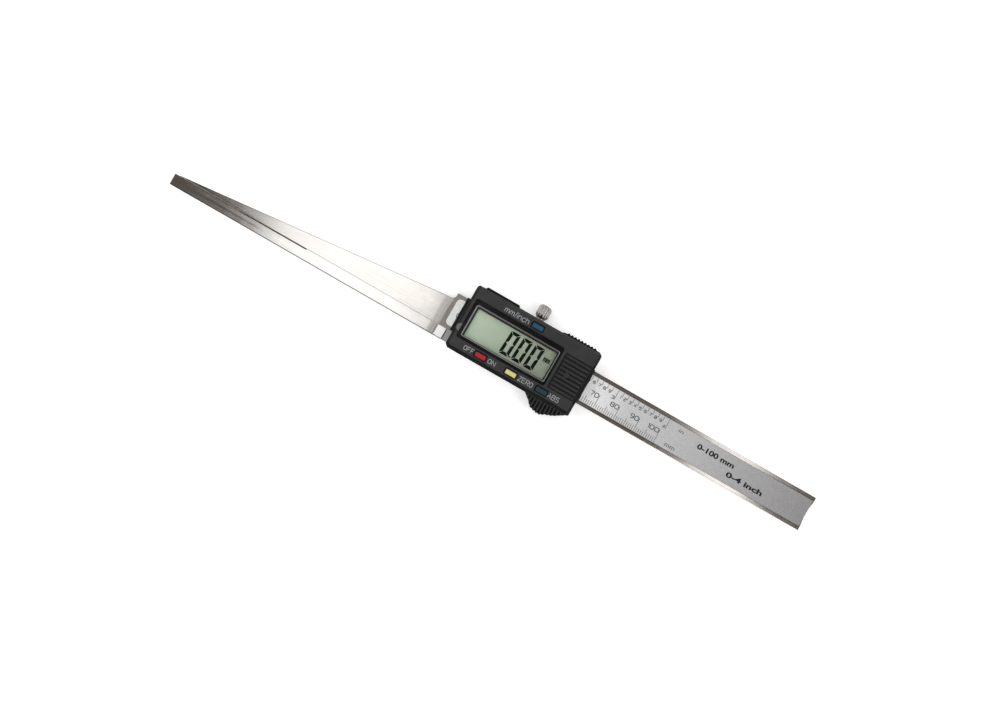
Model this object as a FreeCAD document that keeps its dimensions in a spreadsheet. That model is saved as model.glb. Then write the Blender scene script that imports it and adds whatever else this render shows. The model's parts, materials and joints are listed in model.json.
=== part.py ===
import FreeCAD, Part

import os
import re

import Sketcher
from FreeCAD import Rotation, Vector

# Digital wedge caliper. X runs along the beam, towards the high end of the scale. Y runs across the
# beam, towards the lock screw. Z is up, out of the display. The origin is on the slider's flat back,
# under the lock screw. Sizes are in millimetres.

DIMENSIONS = {
    # beam and wedge
    "beam_back": 1.3,
    "beam_thick": 3.5,
    "beam_half": 8.0,
    "beam_end": 142.3,
    "shoulder": -36.2,
    "wedge_tip": -166.1,
    "wedge_tip_high": 0.15,
    "wedge_taper": 0.1,
    "root_radius": 2.0,
    "blade_thick": 2.0,
    "runout": 2.9,
    "beyond": 1.0,
    "end_dish": 36.0,
    "end_dish_deep": 0.5,
    # scale in the beam's front
    "scale_start": -35.0,
    "scale_half": 6.3,
    "scale_deep": 0.6,
    "scale_corner": 1.9,
    "label_thick": 0.12,
    "slip": 0.05,
    # feeler strip
    "strip_tip": -168.3,
    "strip_end": -33.06,
    "strip_low": -13.2,
    "strip_block": 4.0,
    "strip_relief_left": -136.0,
    "strip_relief_right": -102.8,
    "strip_relief_deep": 0.5,
    "tang_end": -16.9,
    "tang_thick": 1.5,
    # slider frame
    "frame_left": -30.2,
    "frame_right": 30.2,
    "stub_left": -32.57,
    "web_back": 4.9,
    "web_front": 6.1,
    "rail_back": 1.2,
    "gib_thick": 0.8,
    "gib_half_long": 28.0,
    "top_rail_inner": 9.0,
    "top_rail_outer": 15.0,
    "web_top": 14.0,
    "sensor_half_long": 24.0,
    "sensor_half_wide": 6.0,
    # rear cover
    "cover_half_long": 29.5,
    "cover_low": -10.7,
    "cover_high": 11.5,
    "cover_corner": 2.0,
    # housing
    "housing_left": -30.26,
    "housing_right": 31.3,
    "housing_low": -14.8,
    "housing_high": 15.55,
    "plateau_left": -29.05,
    "plateau_right": 30.1,
    "plateau_low": -13.0,
    "plateau_high": 14.7,
    "base_corner": 0.8,
    "base_corner_left": 1.4,
    "base_corner_right": 0.5,
    "face_corner": 0.6,
    "face_corner_left": 0.7,
    "face_corner_right": 0.4,
    "housing_side": 13.4,
    "housing_front": 15.0,
    "wall": 1.2,
    "roof_back": 13.5,
    "rest_top": 12.4,
    "rest_left": -26.1,
    "rest_right": -10.5,
    "rest_rise": 0.95,
    "rest_slope": 0.7,
    "grip_pad_left": 12.2,
    "grip_pad_rise": 0.5,
    "grip_pad_slope": 0.8,
    "notch_y": -4.45,
    "notch_radius": 1.95,
    "notch_deep": 0.5,
    "tooth_first": 14.3,
    "tooth_pitch": 1.62,
    "tooth_rise": 0.75,
    # display
    "bezel_left": -27.96,
    "bezel_right": 15.75,
    "bezel_low": -8.6,
    "bezel_high": 10.1,
    "bezel_back": 13.9,
    "bezel_front": 14.7,
    "view_left": -25.0,
    "view_right": 13.9,
    "view_low": -6.75,
    "view_high": 6.4,
    "trim_left": -26.36,
    "trim_right": 14.8,
    "trim_low": -7.3,
    "trim_high": 7.8,
    "trim_wide": 0.7,
    "trim_rise": 0.25,
    "pane_margin": 0.9,
    "pane_thick": 0.8,
    "lcd_thick": 1.9,
    "lcd_gap": 0.1,
    "carrier_end": 3.0,
    "carrier_seat_edge": 0.3,
    "view_corner": 0.6,
    "bezel_corner": 1.0,
    "trim_corner": 0.9,
    "trim_inner_corner": 0.4,
    # electronics
    "board_back": 6.15,
    "board_thick": 0.8,
    "board_left": -28.5,
    "board_right": 29.5,
    "board_low": -13.2,
    "board_high": 13.8,
    "dome_radius": 1.5,
    "dome_rise": 0.35,
    "minus_half_long": 3.0,
    "contact_half_wide": 1.5,
    "bump_radius": 1.0,
    "plus_sole_long": 2.0,
    "plus_short": 1.0,
    "battery_x": 23.8,
    "battery_y": 0.3,
    "battery_radius": 5.8,
    "battery_back": 7.4,
    "battery_thick": 5.4,
    "battery_corner": 0.5,
    "contact_thick": 0.25,
    # keys
    "key_long": 5.2,
    "key_wide": 2.2,
    "key_flange": 0.45,
    "key_front": 15.5,
    "key_travel": 0.4,
    "key_gap": 0.12,
    "key_corner": 0.3,
    "key_skirt": 1.0,
    "stem_radius": 0.75,
    # battery cover
    "lid_left": 17.3,
    "lid_low": -8.05,
    "lid_high": 8.6,
    "lid_tongue": 0.9,
    "lid_step": 14.3,
    "lid_gap": 0.1,
    "lid_well_deep": 3.0,
    "rib_pitch": 1.87,
    "rib_wide": 0.9,
    "rib_rise": 0.4,
    "rib_margin": 0.35,
    "rib_end": 0.5,
    "arrow_x": 22.1,
    "arrow_y": 0.3,
    "arrow_radius": 2.0,
    "arrow_rise": 0.12,
    "lid_tongue_thick": 0.9,
    "lid_well_margin": 0.8,
    "ledge_margin": 1.2,
    "ledge_lap": 0.4,
    # lock screw
    "lock_z": 3.05,
    "lock_radius": 1.5,
    "lock_hole": 1.55,
    "lock_tip": 10.0,
    "neck_radius": 2.0,
    "neck_start": 15.3,
    "head_start": 16.1,
    "head_end": 22.2,
    "head_radius": 2.93,
    "head_chamfer": 0.5,
    "lock_slot": 0.8,
    "lock_slot_deep": 1.2,
    "pad_gap": 0.27,
    "lock_relief": 0.15,
    "pad_radius": 1.4,
    # screws
    "shank_radius": 0.75,
    "hole_radius": 0.8,
    "screw_head_radius": 1.15,
    "screw_head_deep": 0.8,
    "set_screw_radius": 1.2,
    "set_screw_end": 13.4,
    "rear_screw_long": 3.6,
    "housing_screw_long": 8.5,
    "strip_screw_long": 2.9,
    "stop_screw_long": 3.0,
    "boss_radius": 1.45,
    "boss_clear": 0.4,
    # thumb grip
    "grip_back": 0.6,
    "grip_front": 8.4,
    "grip_root": -14.9,
    "grip_left": 10.2,
    "grip_right": 30.2,
    # wipers
    "wiper_left_end": -31.57,
    "wiper_right_end": 31.9,
    "wiper_high": 8.4,
    "wiper_low": -7.6,
    "wiper_front": 8.6,
    # end stop
    "stop_left": 131.4,
    "stop_right": 138.4,
    "stop_half": 6.0,
    "stop_back": 0.3,
    "stop_corner": 1.0,
}

doc = FreeCAD.newDocument("wedge_caliper")
sheet = doc.addObject("Spreadsheet::Sheet", "dims")
for row, (word, size) in enumerate(DIMENSIONS.items(), start=1):
    sheet.set(f"A{row}", word.replace("_", " "))
    sheet.set(f"B{row}", str(size))
    sheet.setAlias(f"B{row}", word)
doc.recompute()


def cells(expression):
    """Turn the words of an expression that name a dimension into references to its cell."""
    return re.sub(r"[a-z][a-z_]+", lambda found: f"dims.{found.group()}", str(expression))


def size(expression):
    """The present value of an expression of dimensions, in millimetres."""
    return float(sheet.evalExpression(cells(expression)))


# --- solids made of primitives --------------------------------------------------------------------

def block(name, x, y, z):
    """A rectangular solid, with each axis given as its low and high value."""
    solid = doc.addObject("Part::Box", name)
    for prop, axis, (low, high) in (("Length", "x", x), ("Width", "y", y), ("Height", "z", z)):
        solid.setExpression(prop, cells(f"({high}) - ({low})"))
        solid.setExpression(f"Placement.Base.{axis}", cells(low))
    return solid


TURNS = {"z": Rotation(), "y": Rotation(Vector(1, 0, 0), -90), "x": Rotation(Vector(0, 1, 0), 90)}


def place(solid, centre, along):
    """Put a turned solid's base at a point, with its own axis along +X, +Y or +Z."""
    solid.Placement = FreeCAD.Placement(Vector(*(size(value) for value in centre)), TURNS[along])
    for axis, value in zip("xyz", centre):
        solid.setExpression(f"Placement.Base.{axis}", cells(value))


def rod(name, centre, radius, length, along="z"):
    """A cylinder from the centre of its base along one axis."""
    solid = doc.addObject("Part::Cylinder", name)
    solid.setExpression("Radius", cells(radius))
    solid.setExpression("Height", cells(length))
    place(solid, centre, along)
    return solid


def cone(name, centre, radius_base, radius_end, length, along="z"):
    """A truncated cone from the centre of its base along one axis."""
    solid = doc.addObject("Part::Cone", name)
    solid.setExpression("Radius1", cells(radius_base))
    solid.setExpression("Radius2", cells(radius_end))
    solid.setExpression("Height", cells(length))
    place(solid, centre, along)
    return solid


def fuse(name, solids):
    joined = doc.addObject("Part::MultiFuse", name)
    joined.Shapes = solids
    joined.Refine = True
    return joined


def group(name, solids):
    """Several loose solids in one node."""
    loose = doc.addObject("Part::Compound", name)
    loose.Links = solids
    return loose


def cut(name, base, tools):
    carved = doc.addObject("Part::Cut", name)
    carved.Base = base
    carved.Tool = tools[0] if len(tools) == 1 else fuse(f"{name}_tools", tools)
    carved.Refine = True
    return carved


def rounded(name, base, radius, wanted, kind="Part::Fillet"):
    """Fillet or chamfer every edge that the function wanted picks."""
    doc.recompute()
    chosen = [number for number, edge in enumerate(base.Shape.Edges, start=1) if wanted(edge)]
    if not chosen:
        raise ValueError(f"{name}: no edge to round")
    finished = doc.addObject(kind, name)
    finished.Base = base
    finished.Edges = [(number, radius, radius) for number in chosen]
    return finished


NEAR = 0.01


def upright(edge):
    """An edge along Z."""
    return edge.BoundBox.XLength < NEAR and edge.BoundBox.YLength < NEAR


def upright_at(edge, place_x):
    """An edge along Z at one place along X."""
    return upright(edge) and abs(edge.BoundBox.XMin - size(place_x)) < NEAR


# --- solids made of sketches ----------------------------------------------------------------------

def new_body(name):
    return doc.addObject("PartDesign::Body", name)


def sketch_on(body, name, level):
    """A sketch level with the body's XY plane, at a height."""
    plane = next(item for item in body.Origin.OriginFeatures if item.Role == "XY_Plane")
    drawing = body.newObject("Sketcher::SketchObject", name)
    drawing.AttachmentSupport = [(plane, "")]
    drawing.MapMode = "FlatFace"
    drawing.setExpression("AttachmentOffset.Base.z", cells(level))
    return drawing


def draw_outline(drawing, corners):
    """A closed outline whose corners stay bound to the dimensions."""
    first = drawing.GeometryCount
    points = [Vector(size(x), size(y), 0) for x, y in corners]
    for start, end in zip(points, points[1:] + points[:1]):
        drawing.addGeometry(Part.LineSegment(start, end))
    for index, (x, y) in enumerate(corners):
        line = first + index
        following = first + (index + 1) % len(corners)
        drawing.addConstraint(Sketcher.Constraint("Coincident", line, 2, following, 1))
        for kind, value in (("DistanceX", x), ("DistanceY", y)):
            rule = drawing.addConstraint(Sketcher.Constraint(kind, -1, 1, line, 1, size(value)))
            drawing.setExpression(f"Constraints[{rule}]", cells(value))
    return drawing


def box_corners(left, right, low, high):
    return [(left, low), (right, low), (right, high), (left, high)]


def pad(body, name, corners, level, length):
    """Raise an outline from a level by a length."""
    feature = body.newObject("PartDesign::Pad", name)
    feature.Profile = draw_outline(sketch_on(body, f"{name}_sketch", level), corners)
    feature.setExpression("Length", cells(length))
    return feature


def pocket(body, name, corners, level, depth):
    """Sink an outline from a level down by a depth."""
    doc.recompute()
    before = body.Shape.Volume
    feature = body.newObject("PartDesign::Pocket", name)
    feature.Profile = draw_outline(sketch_on(body, f"{name}_sketch", level), corners)
    feature.setExpression("Length", cells(depth))
    doc.recompute()
    if body.Shape.Volume >= before:
        raise ValueError(f"{name} cuts nothing")
    return feature


def loft(body, name, levels):
    """Blend one outline into the next, each given with its level."""
    drawings = [
        draw_outline(sketch_on(body, f"{name}_sketch_{number}", level), corners)
        for number, (level, corners) in enumerate(levels)
    ]
    feature = body.newObject("PartDesign::AdditiveLoft", name)
    feature.Profile = drawings[0]
    feature.Sections = drawings[1:]
    feature.Ruled = True
    return feature


NODES = {}


def node(name, solid):
    """Give a finished sub-part the label that names its file."""
    solid.Label = name
    NODES[name] = solid
    return solid


# --- screws ---------------------------------------------------------------------------------------

def back_screw(name, x, y, level, length, sunk="slip"):
    """A pan-head screw driven from the back towards +Z, its head's face just above a level."""
    start = f"{level} + {sunk}"
    head = rod(f"{name}_head", (x, y, start), "screw_head_radius", "screw_head_deep")
    shank = rod(f"{name}_shank", (x, y, start), "shank_radius", length)
    recess = block(
        f"{name}_slot",
        (f"{x} - screw_head_radius", f"{x} + screw_head_radius"),
        (f"{y} - lock_slot / 4", f"{y} + lock_slot / 4"),
        (f"{start} - slip", f"{start} + screw_head_deep / 2"),
    )
    return cut(name, fuse(f"{name}_blank", [head, shank]), [recess])


def back_screw_hole(name, x, y, level, length):
    """The counterbore and clearance hole that a back screw sits in."""
    return [
        rod(f"{name}_bore", (x, y, f"{level} - slip"), "screw_head_radius + slip",
            "screw_head_deep + 2 * slip"),
        rod(f"{name}_hole", (x, y, f"{level} - slip"), "hole_radius", f"{length} + 2 * slip"),
    ]


REAR_SCREWS = [("-26.5", "10.2"), ("26.5", "10.2"), ("-12.5", "-9.4"), ("26.5", "-9.4")]
HOUSING_SCREWS = [("-25", "12.6"), ("25", "12.6"), ("-8", "-12"), ("25", "-12")]
STRIP_SCREWS = [("-28", "-11.9"), ("-20.5", "-11.9")]
STOP_SCREWS = [("134.9", "-3.5"), ("134.9", "3.5")]
GIB_SCREWS = ["-18", "18"]


def screw_set(name, places, level, length):
    return group(name, [
        back_screw(f"{name}_{number}", x, y, level, length) for number, (x, y) in enumerate(places)
    ])


def screw_holes(name, places, level, length):
    tools = []
    for number, (x, y) in enumerate(places):
        tools += back_screw_hole(f"{name}_{number}", x, y, level, length)
    return tools


# --- beam -----------------------------------------------------------------------------------------

def beam_wedge():
    body = new_body("beam_body")
    wedge_top = "-beam_half + wedge_tip_high + (shoulder - wedge_tip) * wedge_taper"
    pad(body, "beam_pad", [
        ("wedge_tip", "-beam_half"),
        ("beam_end", "-beam_half"),
        ("beam_end", "beam_half"),
        ("shoulder", "beam_half"),
        ("shoulder", wedge_top),
        ("wedge_tip", "-beam_half + wedge_tip_high"),
    ], "beam_back", "beam_thick")
    recess = box_corners("scale_start", "beam_end", "-scale_half", "scale_half")
    pocket(body, "beam_scale_recess", recess, "beam_back + beam_thick", "scale_deep")
    corner_y = size(wedge_top)
    root = rounded("beam_root", body, size("root_radius"), lambda edge: upright_at(edge, "shoulder")
                   and abs(edge.BoundBox.YMin - corner_y) < NEAR)
    recess_ends = rounded("beam_recess_ends", root, size("scale_corner"),
                          lambda edge: upright_at(edge, "scale_start"))
    step = "beam_thick - blade_thick"
    radius = f"(runout * runout + ({step}) * ({step})) / (2 * ({step}))"
    trough = rod("beam_trough",
                 ("shoulder - runout", "-beam_half - beyond", f"beam_back + blade_thick + {radius}"),
                 radius, "2 * (beam_half + beyond)", along="y")
    step_back = block("beam_step", ("wedge_tip - beyond", "shoulder - runout"),
                      ("-beam_half - beyond", "beam_half"),
                      ("beam_back + blade_thick", "beam_back + 2 * beam_thick"))
    dish = rod("beam_dish", ("beam_end - end_dish_deep + end_dish", "0", "0"), "end_dish",
               "2 * beam_thick")
    dish_limit = block("beam_dish_limit", ("beam_end - 2 * beyond", "beam_end + beyond"),
                       ("-scale_half", "scale_half"), ("0", "2 * beam_thick"))
    dish_tool = doc.addObject("Part::Common", "beam_dish_tool")
    dish_tool.Base = dish
    dish_tool.Tool = dish_limit
    holes = screw_holes("beam_stop_hole", STOP_SCREWS, "stop_back", "stop_screw_long")
    node("beam_wedge", cut("beam_cut", recess_ends, [trough, step_back, dish_tool, *holes]))


def scale_layer(name, low, high):
    """One layer of the scale, with rounded left corners, lying in the beam's recess."""
    layer = block(f"{name}_blank", ("scale_start + slip", "beam_end - end_dish_deep - slip"),
                  ("-scale_half + slip", "scale_half - slip"), (low, high))
    node(name, rounded(f"{name}_round", layer, size("scale_corner - slip"),
                       lambda edge: upright_at(edge, "scale_start + slip")))


def scale():
    recess_floor = "beam_back + beam_thick - scale_deep"
    label_back = "beam_back + beam_thick - slip - label_thick"
    scale_layer("scale_board", recess_floor, label_back)
    scale_layer("scale_label", label_back, "beam_back + beam_thick - slip")


def end_stop():
    plate = block("stop_blank", ("stop_left", "stop_right"), ("-stop_half", "stop_half"),
                  ("stop_back", "beam_back"))
    plate = rounded("stop_round", plate, size("stop_corner"), upright)
    holes = screw_holes("stop_hole", STOP_SCREWS, "stop_back", "stop_screw_long")
    node("end_stop", cut("stop_cut", plate, holes))
    node("end_stop_screws", screw_set("stop_screw", STOP_SCREWS, "stop_back", "stop_screw_long"))


# --- feeler strip ---------------------------------------------------------------------------------

def feeler_strip():
    body = new_body("strip_body")
    top = "-beam_half - slip"
    pad(body, "strip_pad", [
        ("strip_tip", "strip_low"),
        ("strip_end", "strip_low"),
        ("strip_end", top),
        ("strip_relief_right", top),
        ("strip_relief_right", f"{top} - strip_relief_deep"),
        ("strip_relief_left", f"{top} - strip_relief_deep"),
        ("strip_relief_left", top),
        ("strip_tip", top),
    ], "beam_back", "beam_thick")
    step = "beam_thick - blade_thick"
    radius = f"(runout * runout + ({step}) * ({step})) / (2 * ({step}))"
    block_left = "strip_end - strip_block"
    trough = rod("strip_trough",
                 (f"{block_left} - runout", "strip_low - beyond", f"beam_back + blade_thick + {radius}"),
                 radius, "beam_half", along="y")
    step_back = block("strip_step", ("strip_tip - beyond", f"{block_left} - runout"),
                      ("strip_low - beyond", "-beam_half"),
                      ("beam_back + blade_thick", "beam_back + 2 * beam_thick"))
    tang = block("strip_tang", ("strip_end - beyond", "tang_end"), ("strip_low", top),
                 ("beam_back", "beam_back + tang_thick"))
    whole = fuse("strip_whole", [cut("strip_cut", body, [trough, step_back]), tang])
    holes = screw_holes("strip_hole", STRIP_SCREWS, "beam_back", "strip_screw_long")
    node("feeler_strip", cut("strip_drilled", whole, holes))
    node("strip_screws", screw_set("strip_screw", STRIP_SCREWS, "beam_back", "strip_screw_long"))


# --- slider frame ---------------------------------------------------------------------------------

def slider_frame():
    web = block("frame_web", ("frame_left", "frame_right"), ("strip_low", "web_top"),
                ("web_back", "web_front"))
    low_rail = block("frame_low_rail", ("frame_left", "frame_right"), ("strip_low", "-beam_half - slip"),
                     ("rail_back", "web_back"))
    top_rail = block("frame_top_rail", ("frame_left", "frame_right"), ("top_rail_inner", "top_rail_outer"),
                     ("rail_back", "web_back"))
    stub = block("frame_stub", ("stub_left", "frame_left"), ("strip_low", "-beam_half - slip"),
                 ("beam_back + tang_thick + slip", "web_front"))
    window = block("frame_window", ("-sensor_half_long", "sensor_half_long"),
                   ("-sensor_half_wide", "sensor_half_wide"), ("web_back - beyond", "web_front + beyond"))
    lap = block("frame_lap", ("frame_left - beyond", "tang_end + slip"),
                ("strip_low - beyond", "-beam_half"),
                ("rail_back - beyond", "beam_back + tang_thick + slip"))
    through = "top_rail_outer - top_rail_inner + 2 * beyond"
    lock_bore = rod("frame_lock_bore", ("0", "top_rail_inner - beyond", "lock_z"), "lock_hole", through,
                    along="y")
    gib_bores = [
        rod(f"frame_gib_bore_{number}", (x, "top_rail_inner - beyond", "lock_z"),
            "set_screw_radius + slip", through, along="y")
        for number, x in enumerate(GIB_SCREWS)
    ]
    holes = screw_holes("frame_rear_hole", REAR_SCREWS, "0", "rear_screw_long")
    holes += screw_holes("frame_housing_hole", HOUSING_SCREWS, "rail_back", "housing_screw_long")
    holes += screw_holes("frame_strip_hole", STRIP_SCREWS, "beam_back", "strip_screw_long")
    solid = fuse("frame_whole", [web, low_rail, top_rail, stub])
    node("slider_frame", cut("frame_cut", solid, [window, lap, lock_bore, *gib_bores, *holes]))


def gib():
    outer = "beam_half + slip + gib_thick"
    node("gib_strip", block("gib_blank", ("-gib_half_long", "gib_half_long"), ("beam_half + slip", outer),
                            ("beam_back + slip", "web_back - slip")))
    screws = []
    for number, x in enumerate(GIB_SCREWS):
        shank = rod(f"gib_screw_{number}_shank", (x, outer, "lock_z"), "set_screw_radius",
                    f"set_screw_end - ({outer})", along="y")
        slot = block(f"gib_screw_{number}_slot",
                     (f"{x} - set_screw_radius - beyond", f"{x} + set_screw_radius + beyond"),
                     ("set_screw_end - lock_slot", "set_screw_end + beyond"),
                     ("lock_z - lock_slot / 4", "lock_z + lock_slot / 4"))
        screws.append(cut(f"gib_screw_{number}", shank, [slot]))
    node("gib_screws", group("gib_screw_group", screws))


def lock():
    shank = rod("lock_shank", ("0", "lock_tip", "lock_z"), "lock_radius", "neck_start + slip - lock_tip",
                along="y")
    neck = rod("lock_neck", ("0", "neck_start", "lock_z"), "neck_radius",
               "head_start + slip - neck_start", along="y")
    head = rod("lock_head", ("0", "head_start", "lock_z"), "head_radius", "head_end - head_start",
               along="y")
    head = rounded("lock_head_round", head, size("head_chamfer"),
                   lambda edge: edge.BoundBox.YLength < NEAR, "Part::Chamfer")
    slot = block("lock_slot_tool", ("-head_radius - beyond", "head_radius + beyond"),
                 ("head_end - lock_slot_deep", "head_end + beyond"),
                 ("lock_z - lock_slot / 2", "lock_z + lock_slot / 2"))
    node("lock_screw", cut("lock_cut", fuse("lock_whole", [shank, neck, head]), [slot]))
    gib_back = "beam_half + slip + gib_thick"
    node("lock_pad", rod("lock_pad_body", ("0", f"{gib_back} + pad_gap", "lock_z"), "pad_radius",
                         f"lock_tip - pad_gap - ({gib_back})", along="y"))


def rear_cover():
    plate = block("cover_blank", ("-cover_half_long", "cover_half_long"), ("cover_low", "cover_high"),
                  ("0", "rail_back"))
    plate = rounded("cover_round", plate, size("cover_corner"), upright)
    holes = screw_holes("cover_hole", REAR_SCREWS, "0", "rear_screw_long")
    node("rear_cover", cut("cover_cut", plate, holes))
    node("rear_cover_screws", screw_set("rear_screw", REAR_SCREWS, "0", "rear_screw_long"))


# --- electronics ----------------------------------------------------------------------------------

KEYS = {
    "button_power": ("-14.35", "-11"),
    "button_zero": ("0.72", "-11"),
    "button_abs": ("15.9", "-11"),
    "button_units": ("1", "12.25"),
}
BOARD_FRONT = "board_back + board_thick"


def electronics():
    node("sensor_plate", block("sensor_blank", ("-sensor_half_long + slip", "sensor_half_long - slip"),
                               ("-sensor_half_wide + slip", "sensor_half_wide - slip"),
                               ("beam_back + beam_thick + 2 * slip", "board_back")))
    board = block("board_blank", ("board_left", "board_right"), ("board_low", "board_high"),
                  ("board_back", BOARD_FRONT))
    notches = [
        rod(f"board_notch_{number}", (x, y, "board_back - beyond"), "boss_radius + boss_clear",
            "board_thick + 2 * beyond")
        for number, (x, y) in enumerate(HOUSING_SCREWS)
    ]
    node("circuit_board", cut("board_cut", board, notches))
    domes = []
    for name, (x, y) in KEYS.items():
        domes.append(cone(f"{name}_dome", (x, y, BOARD_FRONT), "dome_radius", "dome_radius / 2",
                          "dome_rise"))
    node("key_domes", group("dome_group", domes))
    cell = rod("battery_blank", ("battery_x", "battery_y", "battery_back"), "battery_radius",
               "battery_thick")
    node("battery", rounded("battery_round", cell, size("battery_corner"),
                            lambda edge: edge.BoundBox.ZLength < NEAR))
    contact_y = ("battery_y - contact_half_wide", "battery_y + contact_half_wide")
    foot_z = (BOARD_FRONT, f"{BOARD_FRONT} + contact_thick")
    foot = block("minus_foot", ("battery_x - minus_half_long", "battery_x + minus_half_long"), contact_y,
                 foot_z)
    bump = rod("minus_bump", ("battery_x", "battery_y", BOARD_FRONT), "bump_radius",
               f"battery_back - ({BOARD_FRONT})")
    node("battery_contact_minus", fuse("minus_whole", [foot, bump]))
    edge_x = "battery_x - battery_radius - slip"
    post = block("plus_post", (f"{edge_x} - contact_thick", edge_x), contact_y,
                 (BOARD_FRONT, "battery_back + battery_thick - plus_short"))
    sole = block("plus_sole", (f"{edge_x} - plus_sole_long", edge_x), contact_y, foot_z)
    node("battery_contact_plus", fuse("plus_whole", [post, sole]))


PANE_BACK = "bezel_back - pane_thick"
LCD_FRONT = f"{PANE_BACK} - lcd_gap"
LCD_BACK = f"{LCD_FRONT} - lcd_thick"


def margin(sides, grow):
    """A box a little larger all round than the one that four dimensions name."""
    left, right, low, high = sides
    return (f"{left} - ({grow})", f"{right} + ({grow})"), (f"{low} - ({grow})", f"{high} + ({grow})")


VIEW = ("view_left", "view_right", "view_low", "view_high")
BEZEL = ("bezel_left", "bezel_right", "bezel_low", "bezel_high")
TRIM = ("trim_left", "trim_right", "trim_low", "trim_high")


def display():
    x, y = margin(VIEW, "pane_margin")
    node("display_window", block("pane_blank", x, y, (PANE_BACK, "bezel_back")))
    node("lcd_panel", block("lcd_blank", x, y, (LCD_BACK, LCD_FRONT)))
    carrier = block("carrier_blank", x, y, (BOARD_FRONT, LCD_BACK))
    inner_x, inner_y = margin(VIEW, "-pane_margin")
    through = (f"{BOARD_FRONT} - beyond", f"{LCD_BACK} + beyond")
    hollow = block("carrier_hollow", inner_x, inner_y, through)
    seat_x = ("view_left + carrier_end", "view_right - carrier_end")
    seat_y = ("view_low - pane_margin + carrier_seat_edge", "view_low + carrier_seat_edge")
    seat = block("carrier_seat", seat_x, seat_y, through)
    node("lcd_carrier", cut("carrier_cut", carrier, [hollow, seat]))
    node("lcd_contact_strip", block("contact_strip", (f"{seat_x[0]} + slip", f"{seat_x[1]} - slip"),
                                    (f"{seat_y[0]} + slip", f"{seat_y[1]} - slip"),
                                    (BOARD_FRONT, LCD_BACK)))
    x, y = margin(BEZEL, "-slip")
    plate = block("bezel_blank", x, y, ("bezel_back", "bezel_front"))
    plate = rounded("bezel_round", plate, size("bezel_corner"), upright)
    x, y = margin(VIEW, "0")
    opening = block("bezel_view_blank", x, y, ("bezel_back - beyond", "bezel_front + beyond"))
    opening = rounded("bezel_view", opening, size("view_corner"), upright)
    node("display_bezel", cut("bezel_cut", plate, [opening]))
    x, y = margin(TRIM, "0")
    front = "bezel_front + trim_rise"
    trim = block("trim_blank", x, y, ("bezel_front", front))
    trim = rounded("trim_round", trim, size("trim_corner"), upright)
    x, y = margin(TRIM, "-trim_wide")
    hole = block("trim_hole_blank", x, y, ("bezel_front - beyond", f"{front} + beyond"))
    hole = rounded("trim_hole", hole, size("trim_inner_corner"), upright)
    node("display_frame", cut("trim_cut", trim, [hole]))


# --- keys -----------------------------------------------------------------------------------------

def key_box(x, y, grow):
    """The sides of a key at a place, a little larger all round."""
    return ((f"{x} - key_long / 2 - {grow}", f"{x} + key_long / 2 + {grow}"),
            (f"{y} - key_wide / 2 - {grow}", f"{y} + key_wide / 2 + {grow}"))


def keys():
    for name, (x, y) in KEYS.items():
        skirt = "roof_back - key_flange - key_skirt"
        cap = block(f"{name}_cap", *key_box(x, y, "0"), (skirt, "key_front"))
        cap = rounded(f"{name}_round", cap, size("key_corner"), lambda edge: upright(edge)
                      or edge.BoundBox.ZMin > size("key_front") - NEAR)
        flange = block(f"{name}_flange", *key_box(x, y, "key_flange"), (skirt, "roof_back - slip"))
        stem = rod(f"{name}_stem", (x, y, f"{BOARD_FRONT} + dome_rise + key_travel + slip"),
                   "stem_radius",
                   f"roof_back - key_flange - ({BOARD_FRONT}) - dome_rise - key_travel - 2 * slip")
        node(name, fuse(f"{name}_whole", [cap, flange, stem]))


# --- housing --------------------------------------------------------------------------------------

TEETH = 9


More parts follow.
